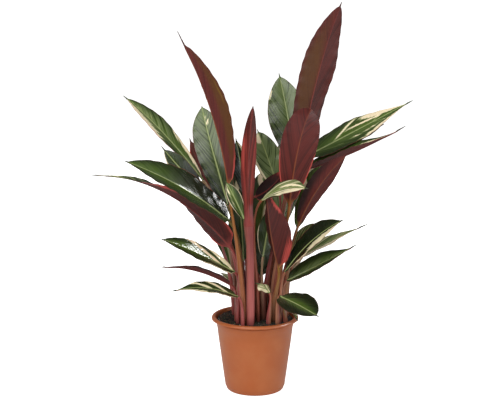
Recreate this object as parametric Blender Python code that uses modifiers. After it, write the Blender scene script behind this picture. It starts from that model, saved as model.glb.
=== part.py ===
"""Potted calathea: a clump of long-stalked, two-coloured leaves in a terracotta-coloured plastic pot.

The frame is metres with +Z up. Its origin is the centre of the pot's underside, and -Y is the front.
Each leaf is one grown piece: the sheath that stands in the soil, its stalk, and the blade.
"""

import math
import random
from collections import namedtuple

import bmesh
import bpy
from mathutils import Quaternion, Vector

MM = 0.001
MERGE_DISTANCE = 0.05
SHARP_ANGLE = 50.0

# Pot, in millimetres: an injection-moulded grower's pot with a rolled rim. Its arcs run between two angles.
POT_HEIGHT = 148.0
RIM_RADIUS = 85.0
RIM_DEPTH = 6.0
RIM_EDGE = 1.0
RIM_ARC = (145, 0)
RIM_POINTS = 5
BODY_TOP_RADIUS = 76.5
BAND_DEPTH = 14.0
BAND_STEP = 0.5
BASE_RADIUS = 57.4
FOOT_HEIGHT = 9.0
FOOT_STEP = 0.8
BASE_ROUND = 6.0
BASE_ARC = (-8, -90)
BASE_POINTS = 4
WALL = 1.8
FLOOR = 2.6
FLOOR_CHAMFER = 3.0
POT_STEPS = 40
DRAIN_HOLES = 8
DRAIN_RADIUS = 4.5
DRAIN_CIRCLE = 42.0
DRAIN_SIDES = 12

# Potting soil, in millimetres. Its slack keeps its flats clear of the pot's.
SOIL_TOP = 137.0
SOIL_GAP = 0.4
SOIL_SLACK = 0.9
SOIL_RINGS = 6
SOIL_STEPS = 30
SOIL_BUMP = 1.6
SOIL_SEED = 11

# Leaf stalks, in millimetres: a sheath at the soil, a thin stalk, and the swollen joint under the blade.
STALK_DEPTH = 24.0
STALK_STRAIGHT = 4.0
STALK_RISE = 0.4
STALK_ARCH = 0.22
STALK_STATIONS = (0.0, 0.3, 0.62, 0.9)
STALK_CLEARANCE = 0.4
HOLE_SIDES = 9
HOLE_REACH = 8.0
SHEATH_BASE = 2.6
SHEATH_PER_WIDTH = 1 / 32
SHEATH_TOP = 0.2
SHEATH_FULL = 0.85
STALK_BASE = 1.5
STALK_PER_WIDTH = 1 / 70
JOINT_SWELL = 1.25
JOINT_START = 0.8

# Leaf blades, in millimetres and as shares of the blade's width.
COLUMNS = (-1.0, -0.5, 0.0, 0.5, 1.0)
BLADE_THICKNESS = 1.2
MARGIN_THICKNESS = 0.75
RIB_DEPTH = 1.2
MARGIN_RECURVE = 0.10
WAVE_SHARE = 0.04
WAVES = 2.6
WAVE_OFFSET = 0.9
PHASE_STEP = 2.4
TIP_SHARE = 0.012
BASE_CROWDING = 1.15
BASE_BLEND = 0.75
LARGE_BLADE = 10
SMALL_BLADE = 8
SMALL_LENGTH = 130.0

# A blade's outline: the pointedness of its tip, the slimness of its base, and a power that moves its greatest
# width towards the base where it is larger.
Outline = namedtuple("Outline", "tip base draw")
OBLONG = Outline(1.1, 0.6, 0.88)
FULL = Outline(0.9, 0.6, 0.88)
BLUNT = Outline(0.75, 0.6, 0.88)
CUT_OFF = Outline(0.4, 0.6, 0.88)
BROAD_BASE = Outline(1.15, 0.32, 1.3)
TAPERED = Outline(1.3, 0.28, 1.45)
FULL_BASE = Outline(0.85, 0.33, 1.0)
LANCE = Outline(1.1, 0.2, 1.25)
HEART = Outline(0.75, 0.6, 1.25)
OVAL = Outline(0.72, 0.5, 0.95)

# A leaf's first four values are points in millimetres: its root at the soil (x, y), the collar where its blade
# starts, the blade's middle and its tip. width is the whole blade's. face is the way that the upper side looks.
# fold is how far each half is lifted, and twist how far the blade turns from its base to its tip, in degrees.
Leaf = namedtuple("Leaf", "name root collar belly tip width face fold twist outline", defaults=[0, OBLONG])

LEAVES = (
    # Tall leaves in the middle of the clump.
    Leaf("tall_left", (-22, -44), (-51, -40, 410), (-82, -42, 553), (-144, -50, 704),
         width=72, face=(0.72, 0.68, 0.05), fold=44),
    Leaf("tall_right", (34, 4), (79, -2, 421), (117, 4, 609), (162, -8, 756),
         width=77, face=(-0.5, 0.85, -0.05), fold=16, outline=FULL),
    Leaf("broad_right", (42, -10), (65, -30, 371), (81, -62, 490), (105, -40, 558),
         width=72, face=(0, 1, -0.2), fold=18, outline=CUT_OFF),
    Leaf("green_right", (28, 46), (80, 56, 439), (65, 80, 526), (47, 100, 613),
         width=78, face=(-0.15, -1, 0.15), fold=12, outline=FULL),
    Leaf("green_left", (-24, 16), (-52, 10, 366), (-86, 40, 481), (-104, 70, 551),
         width=66, face=(-0.15, -1, 0.15), fold=12, outline=FULL_BASE),
    Leaf("young_spear", (-9, -52), (-11, -64, 339), (-13, -68, 457), (-4, -64, 567),
         width=60, face=(0, 1, -0.2), fold=62, outline=BLUNT),
    Leaf("grey_middle", (18, 21), (45, 31, 397), (25, 38, 453), (4, 46, 509),
         width=54, face=(0, -1, 0.2), fold=14, outline=OVAL),
    # Left side, from the top down.
    Leaf("left_high", (-35, 18), (-101, 26, 412), (-182, 36, 507), (-255, 46, 574),
         width=46, face=(0.5, -0.6, 0.65), fold=22, outline=OBLONG),
    Leaf("left_red_edge", (-30, 32), (-90, 48, 396), (-112, 64, 441), (-129, 84, 486),
         width=34, face=(0.3, 0.9, 0.1), fold=25),
    Leaf("left_small", (-24, 2), (-104, -6, 398), (-144, -12, 442), (-178, -20, 485),
         width=40, face=(0.25, -0.9, 0.4), fold=15, outline=FULL_BASE),
    Leaf("left_glossy", (-26, -23), (-50, -33, 343), (-135, -74, 414), (-240, -115, 472),
         width=78, face=(0.4, -0.5, 0.75), fold=22, outline=FULL_BASE),
    Leaf("left_droop", (-31, -9), (-46, -14, 284), (-172, 0, 391), (-320, 24, 422),
         width=76, face=(0.25, 0.95, 0.3), fold=20, twist=-100, outline=TAPERED),
    Leaf("left_pink", (-33, -34), (-40, -38, 244), (-108, -84, 292), (-174, -130, 329),
         width=48, face=(0.35, -0.5, 0.8), fold=17, outline=FULL_BASE),
    Leaf("left_thin", (-36, -21), (-45, -24, 213), (-110, -20, 241), (-182, -14, 248),
         width=42, face=(0.25, 0.45, 0.85), fold=20, outline=BROAD_BASE),
    Leaf("left_low", (-24, -58), (-33, -62, 201), (-92, -100, 228), (-154, -136, 231),
         width=40, face=(0.1, -0.4, 0.9), fold=16, outline=BROAD_BASE),
    # Middle of the clump, low.
    Leaf("middle_striped", (-5, -34), (-21, -47, 349), (-39, -53, 391), (-57, -59, 426),
         width=28, face=(0.15, -0.95, 0.25), fold=20),
    Leaf("middle_cream", (-12, -8), (-19, -8, 387), (-27, -4, 444), (-37, 0, 498),
         width=36, face=(0, -1, 0.2), fold=20),
    Leaf("front_striped", (6, -24), (13, -42, 385), (54, -84, 415), (97, -120, 421),
         width=38, face=(-0.15, -0.65, 0.75), fold=14),
    Leaf("front_dark", (32, -26), (45, -36, 251), (29, -52, 329), (22, -40, 402),
         width=82, face=(0.65, 0.75, -0.05), fold=42, outline=HEART),
    Leaf("front_curled", (26, -42), (27, -46, 205), (15, -56, 221), (0, -66, 229),
         width=26, face=(-0.35, -0.9, -0.3), fold=25),
    Leaf("middle_glossy", (16, -8), (15, -10, 267), (23, -4, 315), (31, 0, 368),
         width=38, face=(0, -1, 0.2), fold=15),
    Leaf("middle_purple", (8, 10), (0, 22, 380), (30, 22, 398), (62, 14, 438),
         width=38, face=(0, 1, -0.2), fold=15, outline=OVAL),
    Leaf("middle_dark", (2, 26), (12, 42, 215), (20, 52, 275), (26, 62, 345),
         width=44, face=(0, -1, 0.2), fold=15),
    Leaf("inner_left", (-17, 26), (-23, 27, 250), (-26, 30, 315), (-31, 34, 372),
         width=54, face=(0, -1, 0.2), fold=15),
    # Right side, from the top down.
    Leaf("right_high", (46, 22), (106, 21, 463), (201, 34, 511), (306, 54, 564),
         width=58, face=(-0.3, -0.65, 0.7), fold=12, outline=LANCE),
    Leaf("right_behind", (42, 33), (111, 42, 453), (187, 74, 484), (257, 108, 511),
         width=34, face=(-0.3, -0.65, 0.7), fold=15),
    Leaf("right_folded", (48, 10), (102, 6, 437), (195, -3, 474), (286, -8, 522),
         width=57, face=(-0.35, -0.05, 0.95), fold=40, outline=TAPERED),
    Leaf("right_dark", (57, -1), (83, -12, 329), (121, -30, 408), (175, -46, 476),
         width=48, face=(-0.3, 0.95, 0), fold=28),
    Leaf("right_green", (48, -26), (58, -32, 243), (105, -72, 311), (163, -115, 362),
         width=60, face=(-0.55, -0.5, 0.7), fold=20),
    Leaf("right_striped", (59, 24), (69, 28, 248), (92, 24, 297), (124, 18, 330),
         width=34, face=(-0.65, -0.55, 0.55), fold=25),
    Leaf("right_narrow", (62, 11), (88, 16, 261), (151, 22, 294), (222, 32, 324),
         width=38, face=(-0.4, -0.3, 0.85), fold=18, outline=TAPERED),
    Leaf("right_low", (58, -14), (62, -19, 222), (128, -40, 262), (192, -66, 304),
         width=52, face=(-0.4, -0.45, 0.8), fold=26, outline=BROAD_BASE),
    Leaf("right_oval", (44, -42), (48, -44, 197), (82, -84, 191), (119, -122, 178),
         width=67, face=(0.25, -0.65, 0.7), fold=14, outline=OVAL),
    Leaf("right_dried", (59, -30), (56, -42, 172), (70, -62, 169), (82, -76, 157),
         width=20, face=(0.45, -0.5, 0.7), fold=45),
    # Back of the clump.
    Leaf("back_left_tall", (-12, 42), (-22, 66, 280), (-44, 128, 390), (-72, 196, 460),
         width=70, face=(0.2, -0.75, 0.55), fold=18),
    Leaf("back_right_tall", (20, 60), (46, 94, 290), (74, 146, 420), (95, 205, 510),
         width=76, face=(-0.1, -0.8, 0.5), fold=18),
    Leaf("back_middle", (6, 62), (10, 100, 262), (22, 172, 355), (42, 243, 412),
         width=64, face=(-0.1, -0.55, 0.75), fold=18),
    Leaf("back_left", (-40, 28), (-72, 75, 290), (-105, 140, 360), (-130, 195, 385),
         width=60, face=(0.4, -0.5, 0.8), fold=20),
    Leaf("back_right", (50, 43), (84, 92, 300), (115, 145, 375), (138, 190, 420),
         width=60, face=(-0.4, -0.5, 0.8), fold=20),
    Leaf("back_left_low", (-32, 46), (-45, 86, 215), (-60, 136, 270), (-70, 185, 285),
         width=50, face=(0.2, -0.4, 0.9), fold=20),
    Leaf("back_right_low", (33, 56), (70, 100, 205), (92, 145, 245), (104, 190, 250),
         width=50, face=(-0.3, -0.4, 0.9), fold=20),
    Leaf("back_middle_low", (-8, 62), (-5, 108, 215), (0, 170, 265), (5, 225, 268),
         width=54, face=(0, -0.4, 0.9), fold=20),
    Leaf("back_small", (-22, 58), (-35, 95, 170), (-48, 132, 195), (-60, 172, 180),
         width=44, face=(0.1, -0.3, 0.9), fold=20),
)


def clear_scene():
    """Removes every object of the startup scene."""
    for item in list(bpy.data.objects):
        bpy.data.objects.remove(item)


def new_collection(name):
    """A collection in the scene."""
    made = bpy.data.collections.new(name)
    bpy.context.scene.collection.children.link(made)
    return made


def material(name, colour, roughness):
    """A non-metallic finish."""
    made = bpy.data.materials.new(name)
    made.use_nodes = True
    shader = made.node_tree.nodes["Principled BSDF"]
    shader.inputs["Base Color"].default_value = (*colour, 1.0)
    shader.inputs["Roughness"].default_value = roughness
    shader.inputs["Metallic"].default_value = 0.0
    return made


def add_object(name, mesh, collection, *finishes):
    """Links a mesh as one named object."""
    made = bpy.data.objects.new(name, mesh)
    collection.objects.link(made)
    for finish in finishes:
        mesh.materials.append(finish)
    return made


def arc(centre, radius, start, end, count):
    """Points round a circle in a profile's plane, between two angles in degrees."""
    angles = [math.radians(start + (end - start) * i / (count - 1)) for i in range(count)]
    return [(centre[0] + radius * math.cos(angle), centre[1] + radius * math.sin(angle)) for angle in angles]


def turned(name, profile, steps, collection, finish):
    """A solid of revolution from (radius, height) points in millimetres that run down its outer side."""
    mesh = bpy.data.meshes.new(name)
    points = [(radius * MM, 0, height * MM) for radius, height in profile]
    edges = [(i, i + 1) for i in range(len(points) - 1)]
    mesh.from_pydata(points, edges, [])
    made = add_object(name, mesh, collection, finish)
    screw = made.modifiers.new("turn", "SCREW")
    screw.steps = screw.render_steps = steps
    screw.use_merge_vertices = True
    screw.merge_threshold = MERGE_DISTANCE * MM
    screw.use_smooth_shade = True
    return made


def round_cutter(name, foot, radius, height, sides, collection):
    """A cylinder that stands on foot and cuts a hole. Its sizes are in millimetres."""
    mesh = bpy.data.meshes.new(name)
    shape = bmesh.new()
    size = {"radius1": radius * MM, "radius2": radius * MM, "depth": height * MM}
    bmesh.ops.create_cone(shape, cap_ends=True, segments=sides, **size)
    bmesh.ops.translate(shape, vec=Vector(foot) * MM + Vector((0, 0, height * MM / 2)), verts=shape.verts)
    shape.to_mesh(mesh)
    shape.free()
    made = add_object(name, mesh, collection)
    made.hide_render = True
    made.display_type = "WIRE"
    return made


def cut(target, cutters):
    """Cuts every object of a collection out of the target."""
    boolean = target.modifiers.new("cut", "BOOLEAN")
    boolean.operation = "DIFFERENCE"
    boolean.operand_type = "COLLECTION"
    boolean.collection = cutters
    boolean.solver = "EXACT"


def body_radius(height):
    """The pot body's outside radius at a height, along its straight taper."""
    return BASE_RADIUS + (BODY_TOP_RADIUS - BASE_RADIUS) * height / (POT_HEIGHT - RIM_DEPTH)


def floor_radius():
    """The radius of the pot's inside just above its floor."""
    return body_radius(FLOOR) - FOOT_STEP - WALL


def build_pot(collection, cutters, finish):
    """The pot: a tapered thin wall with a rolled rim, a shallow band under it, a stepped foot and drain holes."""
    under_rim = POT_HEIGHT - RIM_DEPTH
    band_bottom = under_rim - BAND_DEPTH
    roll = (RIM_RADIUS - body_radius(under_rim)) / 2
    profile = [
        (0.0, FLOOR),
        (floor_radius() - FLOOR_CHAMFER, FLOOR),
        (floor_radius(), FLOOR + FLOOR_CHAMFER),
        (body_radius(POT_HEIGHT) - WALL, POT_HEIGHT - roll),
    ]
    profile += arc((RIM_RADIUS - roll, POT_HEIGHT - roll), roll, *RIM_ARC, RIM_POINTS)
    profile += [
        (RIM_RADIUS, under_rim + RIM_EDGE),
        (RIM_RADIUS - RIM_EDGE, under_rim),
        (body_radius(under_rim), under_rim),
        (body_radius(band_bottom), band_bottom),
        (body_radius(band_bottom) - BAND_STEP, band_bottom - BAND_STEP),
        (body_radius(FOOT_HEIGHT), FOOT_HEIGHT),
        (body_radius(FOOT_HEIGHT) - FOOT_STEP, FOOT_HEIGHT - FOOT_STEP),
    ]
    profile += arc((body_radius(0) - FOOT_STEP - BASE_ROUND, BASE_ROUND), BASE_ROUND, *BASE_ARC, BASE_POINTS)
    profile += [(0.0, 0.0)]
    pot = turned("pot", profile, POT_STEPS, collection, finish)
    for i in range(DRAIN_HOLES):
        angle = math.tau * (i + 0.5) / DRAIN_HOLES
        foot = (DRAIN_CIRCLE * math.cos(angle), DRAIN_CIRCLE * math.sin(angle), -FLOOR)
        round_cutter(f"drain_{i}", foot, DRAIN_RADIUS, 3 * FLOOR, DRAIN_SIDES, cutters)
    cut(pot, cutters)


def roughen(target, level, height, seed):
    """Fixes a modifier's result as the mesh, and lifts or sinks its points at one level by up to height."""
    evaluated = target.evaluated_get(bpy.context.evaluated_depsgraph_get())
    mesh = bpy.data.meshes.new_from_object(evaluated)
    target.modifiers.clear()
    target.data = mesh
    draw = random.Random(seed)
    for vertex in mesh.vertices:
        if abs(vertex.co.z - level * MM) < MM / 10:
            vertex.co.z += height * MM * draw.uniform(-1, 1)


def build_soil(collection, cutters, finish):
    """The root ball and potting soil: it fills the pot, its top is crumbly, and each stalk has its hole."""
    top_radius = body_radius(SOIL_TOP) - WALL - SOIL_SLACK
    profile = [(top_radius * ring / SOIL_RINGS, SOIL_TOP) for ring in range(SOIL_RINGS + 1)]
    profile += [
        (floor_radius() - SOIL_SLACK, FLOOR + FLOOR_CHAMFER + SOIL_GAP),
        (floor_radius() - FLOOR_CHAMFER - SOIL_SLACK, FLOOR + SOIL_GAP),
        (0.0, FLOOR + SOIL_GAP),
    ]
    soil = turned("soil", profile, SOIL_STEPS, collection, finish)
    roughen(soil, SOIL_TOP, SOIL_BUMP, SOIL_SEED)
    for leaf in LEAVES:
        radius = (sheath_radius(leaf) + STALK_CLEARANCE) / math.cos(math.pi / HOLE_SIDES)
        foot = (*leaf.root, SOIL_TOP - STALK_DEPTH - STALK_CLEARANCE)
        round_cutter(f"hole_{leaf.name}", foot, radius, STALK_DEPTH + HOLE_REACH, HOLE_SIDES, cutters)
    cut(soil, cutters)


def sheath_radius(leaf):
    """Radius of the leaf's sheath where it stands in the soil."""
    return SHEATH_BASE + leaf.width * SHEATH_PER_WIDTH


def stalk_radius(leaf):
    """Radius of the thin stalk above the sheath."""
    return STALK_BASE + leaf.width * STALK_PER_WIDTH


def smooth(low, high, value):
    """0 below low, 1 above high, and a smooth step between them."""
    share = min(1.0, max(0.0, (value - low) / (high - low)))
    return share * share * (3 - 2 * share)


def blade_share(outline, along):
    """Half-width of a blade as a share of its greatest, from its base to its tip."""
    back = 1 - along
    power = outline.tip + (outline.base - outline.tip) * back
    return max(0.0, math.sin(math.pi * back**outline.draw)) ** power


def midrib(leaf, share):
    """A point on the blade's middle line, from 0 at its collar to 1 at its tip, and its direction there."""
    start, middle, end = Vector(leaf.collar), Vector(leaf.belly), Vector(leaf.tip)
    pull = 2 * middle - (start + end) / 2
    rest = 1 - share
    place = rest**2 * start + 2 * share * rest * pull + share**2 * end
    heading = rest * (pull - start) + share * (end - pull)
    return place, heading.normalized()


def stalk(leaf, share):
    """A point on the stalk, from 0 at the soil to 1 at the collar, and its direction there."""
    end, blade_heading = midrib(leaf, 0.0)
    start = Vector((*leaf.root, SOIL_TOP + STALK_STRAIGHT))
    reach = (end - start).length
    first = start + Vector((0, 0, STALK_RISE * reach))
    second = end - blade_heading * STALK_ARCH * reach
    rest = 1 - share
    place = rest**3 * start + 3 * rest**2 * share * first + 3 * rest * share**2 * second + share**3 * end
    heading = rest**2 * (first - start) + 2 * rest * share * (second - first) + share**2 * (end - second)
    return place, heading.normalized()


def across(heading, face):
    """The side and upper directions of a section across a heading, with its upper side towards face."""
    up = (face - heading * face.dot(heading)).normalized()
    return heading.cross(up).normalized(), up


def round_ring(place, side, up, radius):
    """A round section, its points paired with a blade section's: the upper ones, then the lower ones."""
    count = 2 * len(COLUMNS)
    ring = []
    for i in range(count):
        angle = math.pi - math.tau * (i + 0.5) / count
        ring.append(place + (side * math.cos(angle) + up * math.sin(angle)) * radius)
    return ring


def blade_ring(leaf, share, place, side, up, phase):
    """A folded, waved blade section: its upper points from margin to margin, then the lower ones back."""
    fullness = blade_share(leaf.outline, share)
    half = leaf.width * max(fullness / 2, TIP_SHARE)
    fold = math.radians(leaf.fold)
    upper, lower = [], []
    for column in COLUMNS:
        reach = abs(column)
        sign = math.copysign(1, column)
        wave = math.sin(math.tau * WAVES * share + phase + WAVE_OFFSET * sign)
        lift = half * (reach * math.sin(fold) - MARGIN_RECURVE * reach**2)
        lift += WAVE_SHARE * leaf.width * fullness * reach**1.5 * wave
        spot = place + side * half * column * math.cos(fold) + up * lift
        thickness = BLADE_THICKNESS + (MARGIN_THICKNESS - BLADE_THICKNESS) * reach
        normal = up * math.cos(fold) - side * sign * math.sin(fold)
        if not column:
            thickness += RIB_DEPTH * (1 - share)
            normal = up
        upper.append(spot)
        lower.append(spot - normal * thickness)
    return upper + lower[::-1]


def stalk_rings(leaf, face):
    """The sections of a leaf's stalk, from its foot in the soil to the blade's collar."""
    thin = stalk_radius(leaf)
    place, heading = midrib(leaf, 0.0)
    side, up = across(heading, face)
    rings = [round_ring(place, side, up, thin)]
    for share in reversed(STALK_STATIONS):
        place, heading = stalk(leaf, share)
        side, up = across(heading, up)
        radius = thin + (sheath_radius(leaf) - thin) * smooth(SHEATH_TOP, SHEATH_FULL, 1 - share)
        if share > JOINT_START:
            radius = thin * JOINT_SWELL
        rings.append(round_ring(place, side, up, radius))
    foot = Vector((*leaf.root, SOIL_TOP - STALK_DEPTH))
    side, up = across(Vector((0, 0, 1)), up)
    rings.append(round_ring(foot, side, up, sheath_radius(leaf)))
    return rings[::-1]


def blade_rings(leaf, face, phase):
    """The sections of a leaf's blade, from just past its collar to its tip."""
    middle = Vector(leaf.belly)
    length = (middle - Vector(leaf.collar)).length + (Vector(leaf.tip) - middle).length
    count = SMALL_BLADE if length < SMALL_LENGTH else LARGE_BLADE
    rings = []
    for step in range(1, count + 1):
        share = (step / count) ** BASE_CROWDING
        place, heading = midrib(leaf, share)
        turn = Quaternion(heading, math.radians(leaf.twist * share))
        side, up = across(heading, turn @ face)
        ring = blade_ring(leaf, share, place, side, up, phase)
        if step == 1:
            stem = round_ring(place, side, up, stalk_radius(leaf))
            ring = [a.lerp(b, BASE_BLEND) for a, b in zip(stem, ring)]
        rings.append(ring)
    return rings


def loft(name, rings, stalk_count):
    """One closed mesh through rings of points in millimetres. A quad is split alike above and below the blade.

    The upper faces take the first material, the lower ones the second, and the stalk the third.
    """
    shape = bmesh.new()
    rows = [[shape.verts.new(point * MM) for point in ring] for ring in rings]
    count = len(rows[0])
    for row in range(len(rows) - 1):
        low, high = rows[row], rows[row + 1]
        for i in range(count):
            after = (i + 1) % count
            upper = i < count // 2
            if upper:
                corners = (low[i], low[after], high[after]), (low[i], high[after], high[i])
            else:
                corners = (low[i], low[after], high[i]), (low[after], high[after], high[i])
            for triangle in corners:
                face = shape.faces.new(triangle)
                face.smooth = True
                face.material_index = 2 if row < stalk_count else 0 if upper else 1
    for end in (rows[0], rows[-1]):
        shape.faces.new(end)
    bmesh.ops.triangulate(shape, faces=[face for face in shape.faces if len(face.verts) > 3])
    bmesh.ops.recalc_face_normals(shape, faces=shape.faces)
    mesh = bpy.data.meshes.new(name)
    shape.to_mesh(mesh)
    shape.free()
    mesh.set_sharp_from_angle(angle=math.radians(SHARP_ANGLE))
    return mesh


def build_leaf(leaf, phase, clump, collection, finishes):
    """One leaf, whose object stands at its root."""
    face = Vector(leaf.face).normalized()
    stem = stalk_rings(leaf, face)
    rings = stem + blade_rings(leaf, face, phase)
    root = Vector((*leaf.root, SOIL_TOP))
    rings = [[point - root for point in ring] for ring in rings]
    name = f"leaf_{leaf.name}"
    made = add_object(name, loft(name, rings, len(stem) - 1), collection, *finishes)
    made.location = root * MM
    made.parent = clump


def main():
    clear_scene()
    plant = new_collection("potted_calathea")
    terracotta = material("terracotta_plastic", (0.47, 0.16, 0.055), 0.45)
    peat = material("peat_soil", (0.018, 0.012, 0.008), 0.95)
    green = material("leaf_upper_green", (0.045, 0.09, 0.03), 0.35)
    burgundy = material("leaf_underside_burgundy", (0.12, 0.03, 0.025), 0.45)
    rosy = material("leaf_stalk_rosy", (0.35, 0.11, 0.09), 0.45)
    build_pot(plant, new_collection("drain_cutters"), terracotta)
    build_soil(plant, new_collection("hole_cutters"), peat)
    clump = bpy.data.objects.new("clump", None)
    plant.objects.link(clump)
    for number, leaf in enumerate(LEAVES):
        build_leaf(leaf, number * PHASE_STEP, clump, plant, (green, burgundy, rosy))


main()
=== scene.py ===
"""Potted calathea: the looks of a clump of striped, two-coloured leaves in a terracotta plastic pot.

Lengths are in millimetres unless a name or a docstring says metres, and MM turns them to Blender's metres.
"""

import logging
import math
from dataclasses import dataclass, fields
from enum import Enum

import bpy
import numpy as np
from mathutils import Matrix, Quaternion, Vector, noise


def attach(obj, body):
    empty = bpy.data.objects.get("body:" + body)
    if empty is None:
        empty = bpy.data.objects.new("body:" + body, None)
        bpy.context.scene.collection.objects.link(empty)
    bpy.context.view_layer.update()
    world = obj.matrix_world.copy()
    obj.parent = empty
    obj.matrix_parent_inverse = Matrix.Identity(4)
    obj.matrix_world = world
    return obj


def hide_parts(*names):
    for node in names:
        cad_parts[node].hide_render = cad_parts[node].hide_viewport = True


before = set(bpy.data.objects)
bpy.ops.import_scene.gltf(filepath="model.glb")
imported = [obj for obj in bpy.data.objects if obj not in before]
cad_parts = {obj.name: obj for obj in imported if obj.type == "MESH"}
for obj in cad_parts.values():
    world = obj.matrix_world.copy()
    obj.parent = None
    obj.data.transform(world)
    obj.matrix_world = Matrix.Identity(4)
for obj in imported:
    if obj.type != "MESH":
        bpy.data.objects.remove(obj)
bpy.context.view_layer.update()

Socket = bpy.types.NodeSocket
Tree = bpy.types.NodeTree

LOG = logging.getLogger("calathea")
MM = 0.001
WELD_DISTANCE = 1e-7
SHARP_ANGLE = math.radians(38)

POT_HEIGHT = 148.0
SOIL_TOP = 137.0

# What each point of a blade is marked with, beside its colour.
BLADE_MARKS = ("across", "along", "vein", "reach", "cream", "pale", "flush", "blush", "olive", "ochre",
               "dark", "merge", "seed")


def linear(hex_colour: str) -> tuple[float, float, float, float]:
    """Turns an sRGB colour into the linear one that shaders take.

    Args:
        hex_colour: The colour as "#RRGGBB".

    Returns:
        Linear red, green and blue, and full alpha.
    """
    channels = [int(hex_colour[i:i + 2], 16) / 255 for i in (1, 3, 5)]
    red, green, blue = (c / 12.92 if c <= 0.04045 else ((c + 0.055) / 1.055) ** 2.4 for c in channels)
    return red, green, blue, 1.0


def smooth(low: float, high: float, value):
    """Gives 0 below low, 1 above high, and a smooth step between them, for a number or an array."""
    share = np.clip((value - low) / (high - low), 0.0, 1.0)
    return share * share * (3 - 2 * share)


def connect(tree: Tree, node: bpy.types.Node, inputs: dict) -> None:
    """Feeds a node's inputs, by name or number, each with a value or with the output that drives it."""
    for name, value in inputs.items():
        if isinstance(value, Socket):
            tree.links.new(value, node.inputs[name])
        else:
            node.inputs[name].default_value = value


def add_node(tree: Tree, kind: str, settings: dict, inputs: dict, output: int | str = 0) -> Socket:
    """Adds a node to a tree, with its settings and what feeds it.

    Args:
        tree: The node tree.
        kind: The node's type name, without the ShaderNode that they all start with.
        settings: Property names and values.
        inputs: Input sockets, by name or number, each with a value or with the output that drives it.
        output: Which of its outputs is wanted, by name or number.

    Returns:
        That output.
    """
    made = tree.nodes.new("ShaderNode" + kind)
    for name, value in settings.items():
        setattr(made, name, value)
    connect(tree, made, inputs)
    return made.outputs[output]


def new_material(name: str) -> tuple[bpy.types.Material, Tree, bpy.types.Node]:
    """Makes a material and gives it back with its node tree and its Principled shader."""
    made = bpy.data.materials.new(name)
    made.use_nodes = True
    return made, made.node_tree, made.node_tree.nodes["Principled BSDF"]


def deselect() -> None:
    """Leaves nothing selected, so that an operator acts only on what comes next."""
    bpy.ops.object.select_all(action="DESELECT")


def edit_whole(piece: bpy.types.Object) -> None:
    """Opens a piece in edit mode with its whole mesh selected."""
    deselect()
    piece.select_set(True)
    bpy.context.view_layer.objects.active = piece
    bpy.ops.object.mode_set(mode="EDIT")
    bpy.ops.mesh.select_all(action="SELECT")


def apply_modifiers(piece: bpy.types.Object) -> None:
    """Applies a piece's modifiers in their order."""
    deselect()
    piece.select_set(True)
    bpy.context.view_layer.objects.active = piece
    for modifier in list(piece.modifiers):
        bpy.ops.object.modifier_apply(modifier=modifier.name)


def finish_piece(piece: bpy.types.Object, name: str, node: str) -> None:
    """Names a piece, sets its shading, hangs it on the root body and hides the CAD node that it replaces.

    Args:
        piece: The finished object, whose place is in its mesh.
        name: The piece's name.
        node: The CAD node that it replaces.
    """
    piece.name = piece.data.name = name
    deselect()
    piece.select_set(True)
    bpy.context.view_layer.objects.active = piece
    bpy.ops.object.shade_smooth_by_angle(angle=SHARP_ANGLE)
    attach(piece, "root")
    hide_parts(node)
    LOG.info("%s: %d faces", name, len(piece.data.polygons))


def lathe(profile: list[tuple[float, float]], sides: int) -> bpy.types.Object:
    """Draws a turned solid by extruding one ring from profile point to profile point.

    Args:
        profile: Radius and height of each ring, from the centre of the underside, round the outside and over
            the top, to the centre of the inside.
        sides: How many sides the rings have.

    Returns:
        The closed solid.
    """
    radius, height = profile[0]
    deselect()
    bpy.ops.mesh.primitive_circle_add(vertices=sides, radius=radius * MM, fill_type="TRIFAN",
                                      location=(0, 0, height * MM))
    piece = bpy.context.object
    bpy.ops.object.transform_apply()
    edit_whole(piece)
    bpy.ops.mesh.region_to_loop()
    for next_radius, next_height in profile[1:]:
        lift = {"value": (0, 0, (next_height - height) * MM)}
        bpy.ops.mesh.extrude_region_move(TRANSFORM_OT_translate=lift)
        scale = next_radius / radius
        bpy.ops.transform.resize(value=(scale, scale, 1), center_override=(0, 0, next_height * MM))
        radius, height = next_radius, next_height
    bpy.ops.mesh.extrude_region_move()
    bpy.ops.mesh.merge(type="CENTER")
    bpy.ops.mesh.select_all(action="SELECT")
    bpy.ops.mesh.normals_make_consistent(inside=False)
    bpy.ops.object.mode_set(mode="OBJECT")
    return piece


def arc(centre: tuple[float, float], radius: float, start: float, end: float,
        count: int) -> list[tuple[float, float]]:
    """Gives points round a circle in a profile's plane, between two angles in degrees."""
    angles = [math.radians(start + (end - start) * i / (count - 1)) for i in range(count)]
    return [(centre[0] + radius * math.cos(angle), centre[1] + radius * math.sin(angle)) for angle in angles]


class Tone(Enum):
    """What a patch on a blade is.

    Cream, grey-green and yellow-green show on the upper side, red, olive-brown and ochre on the underside,
    and dark on both. Dark is partly painted shade, where the clump shades a blade, and partly darker tissue.
    """

    CREAM = "cream"
    GREY = "pale"
    FLUSH = "flush"
    BLUSH = "blush"
    OLIVE = "olive"
    OCHRE = "ochre"
    # Partly painted shade where the clump shades a blade, partly darker tissue.
    DARK = "dark"


class Pattern(Enum):
    """The drawing of a leaf's upper side: grey-green feathering, and yellow-green flush along the midrib."""

    DARK = (0.1, 0.2)
    FLUSHED = (0.15, 1.0)
    FEATHERED = (0.9, 0.5)
    SILVER = (1.3, 0.3)
    STREAKED = (0.35, 0.5)


class Outline(Enum):
    """The outline of a blade: how pointed its tip is, how narrow its base, and where it is widest."""

    OBLONG = (1.1, 0.6, 0.88)
    FULL = (0.9, 0.6, 0.88)
    BLUNT = (0.75, 0.6, 0.88)
    CUT_OFF = (0.4, 0.6, 0.88)
    BROAD_BASE = (1.15, 0.32, 1.3)
    TAPERED = (1.3, 0.28, 1.45)
    FULL_BASE = (0.85, 0.33, 1.0)
    LANCE = (1.1, 0.2, 1.25)
    HEART = (0.75, 0.6, 1.25)
    OVAL = (0.72, 0.5, 0.95)


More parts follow.
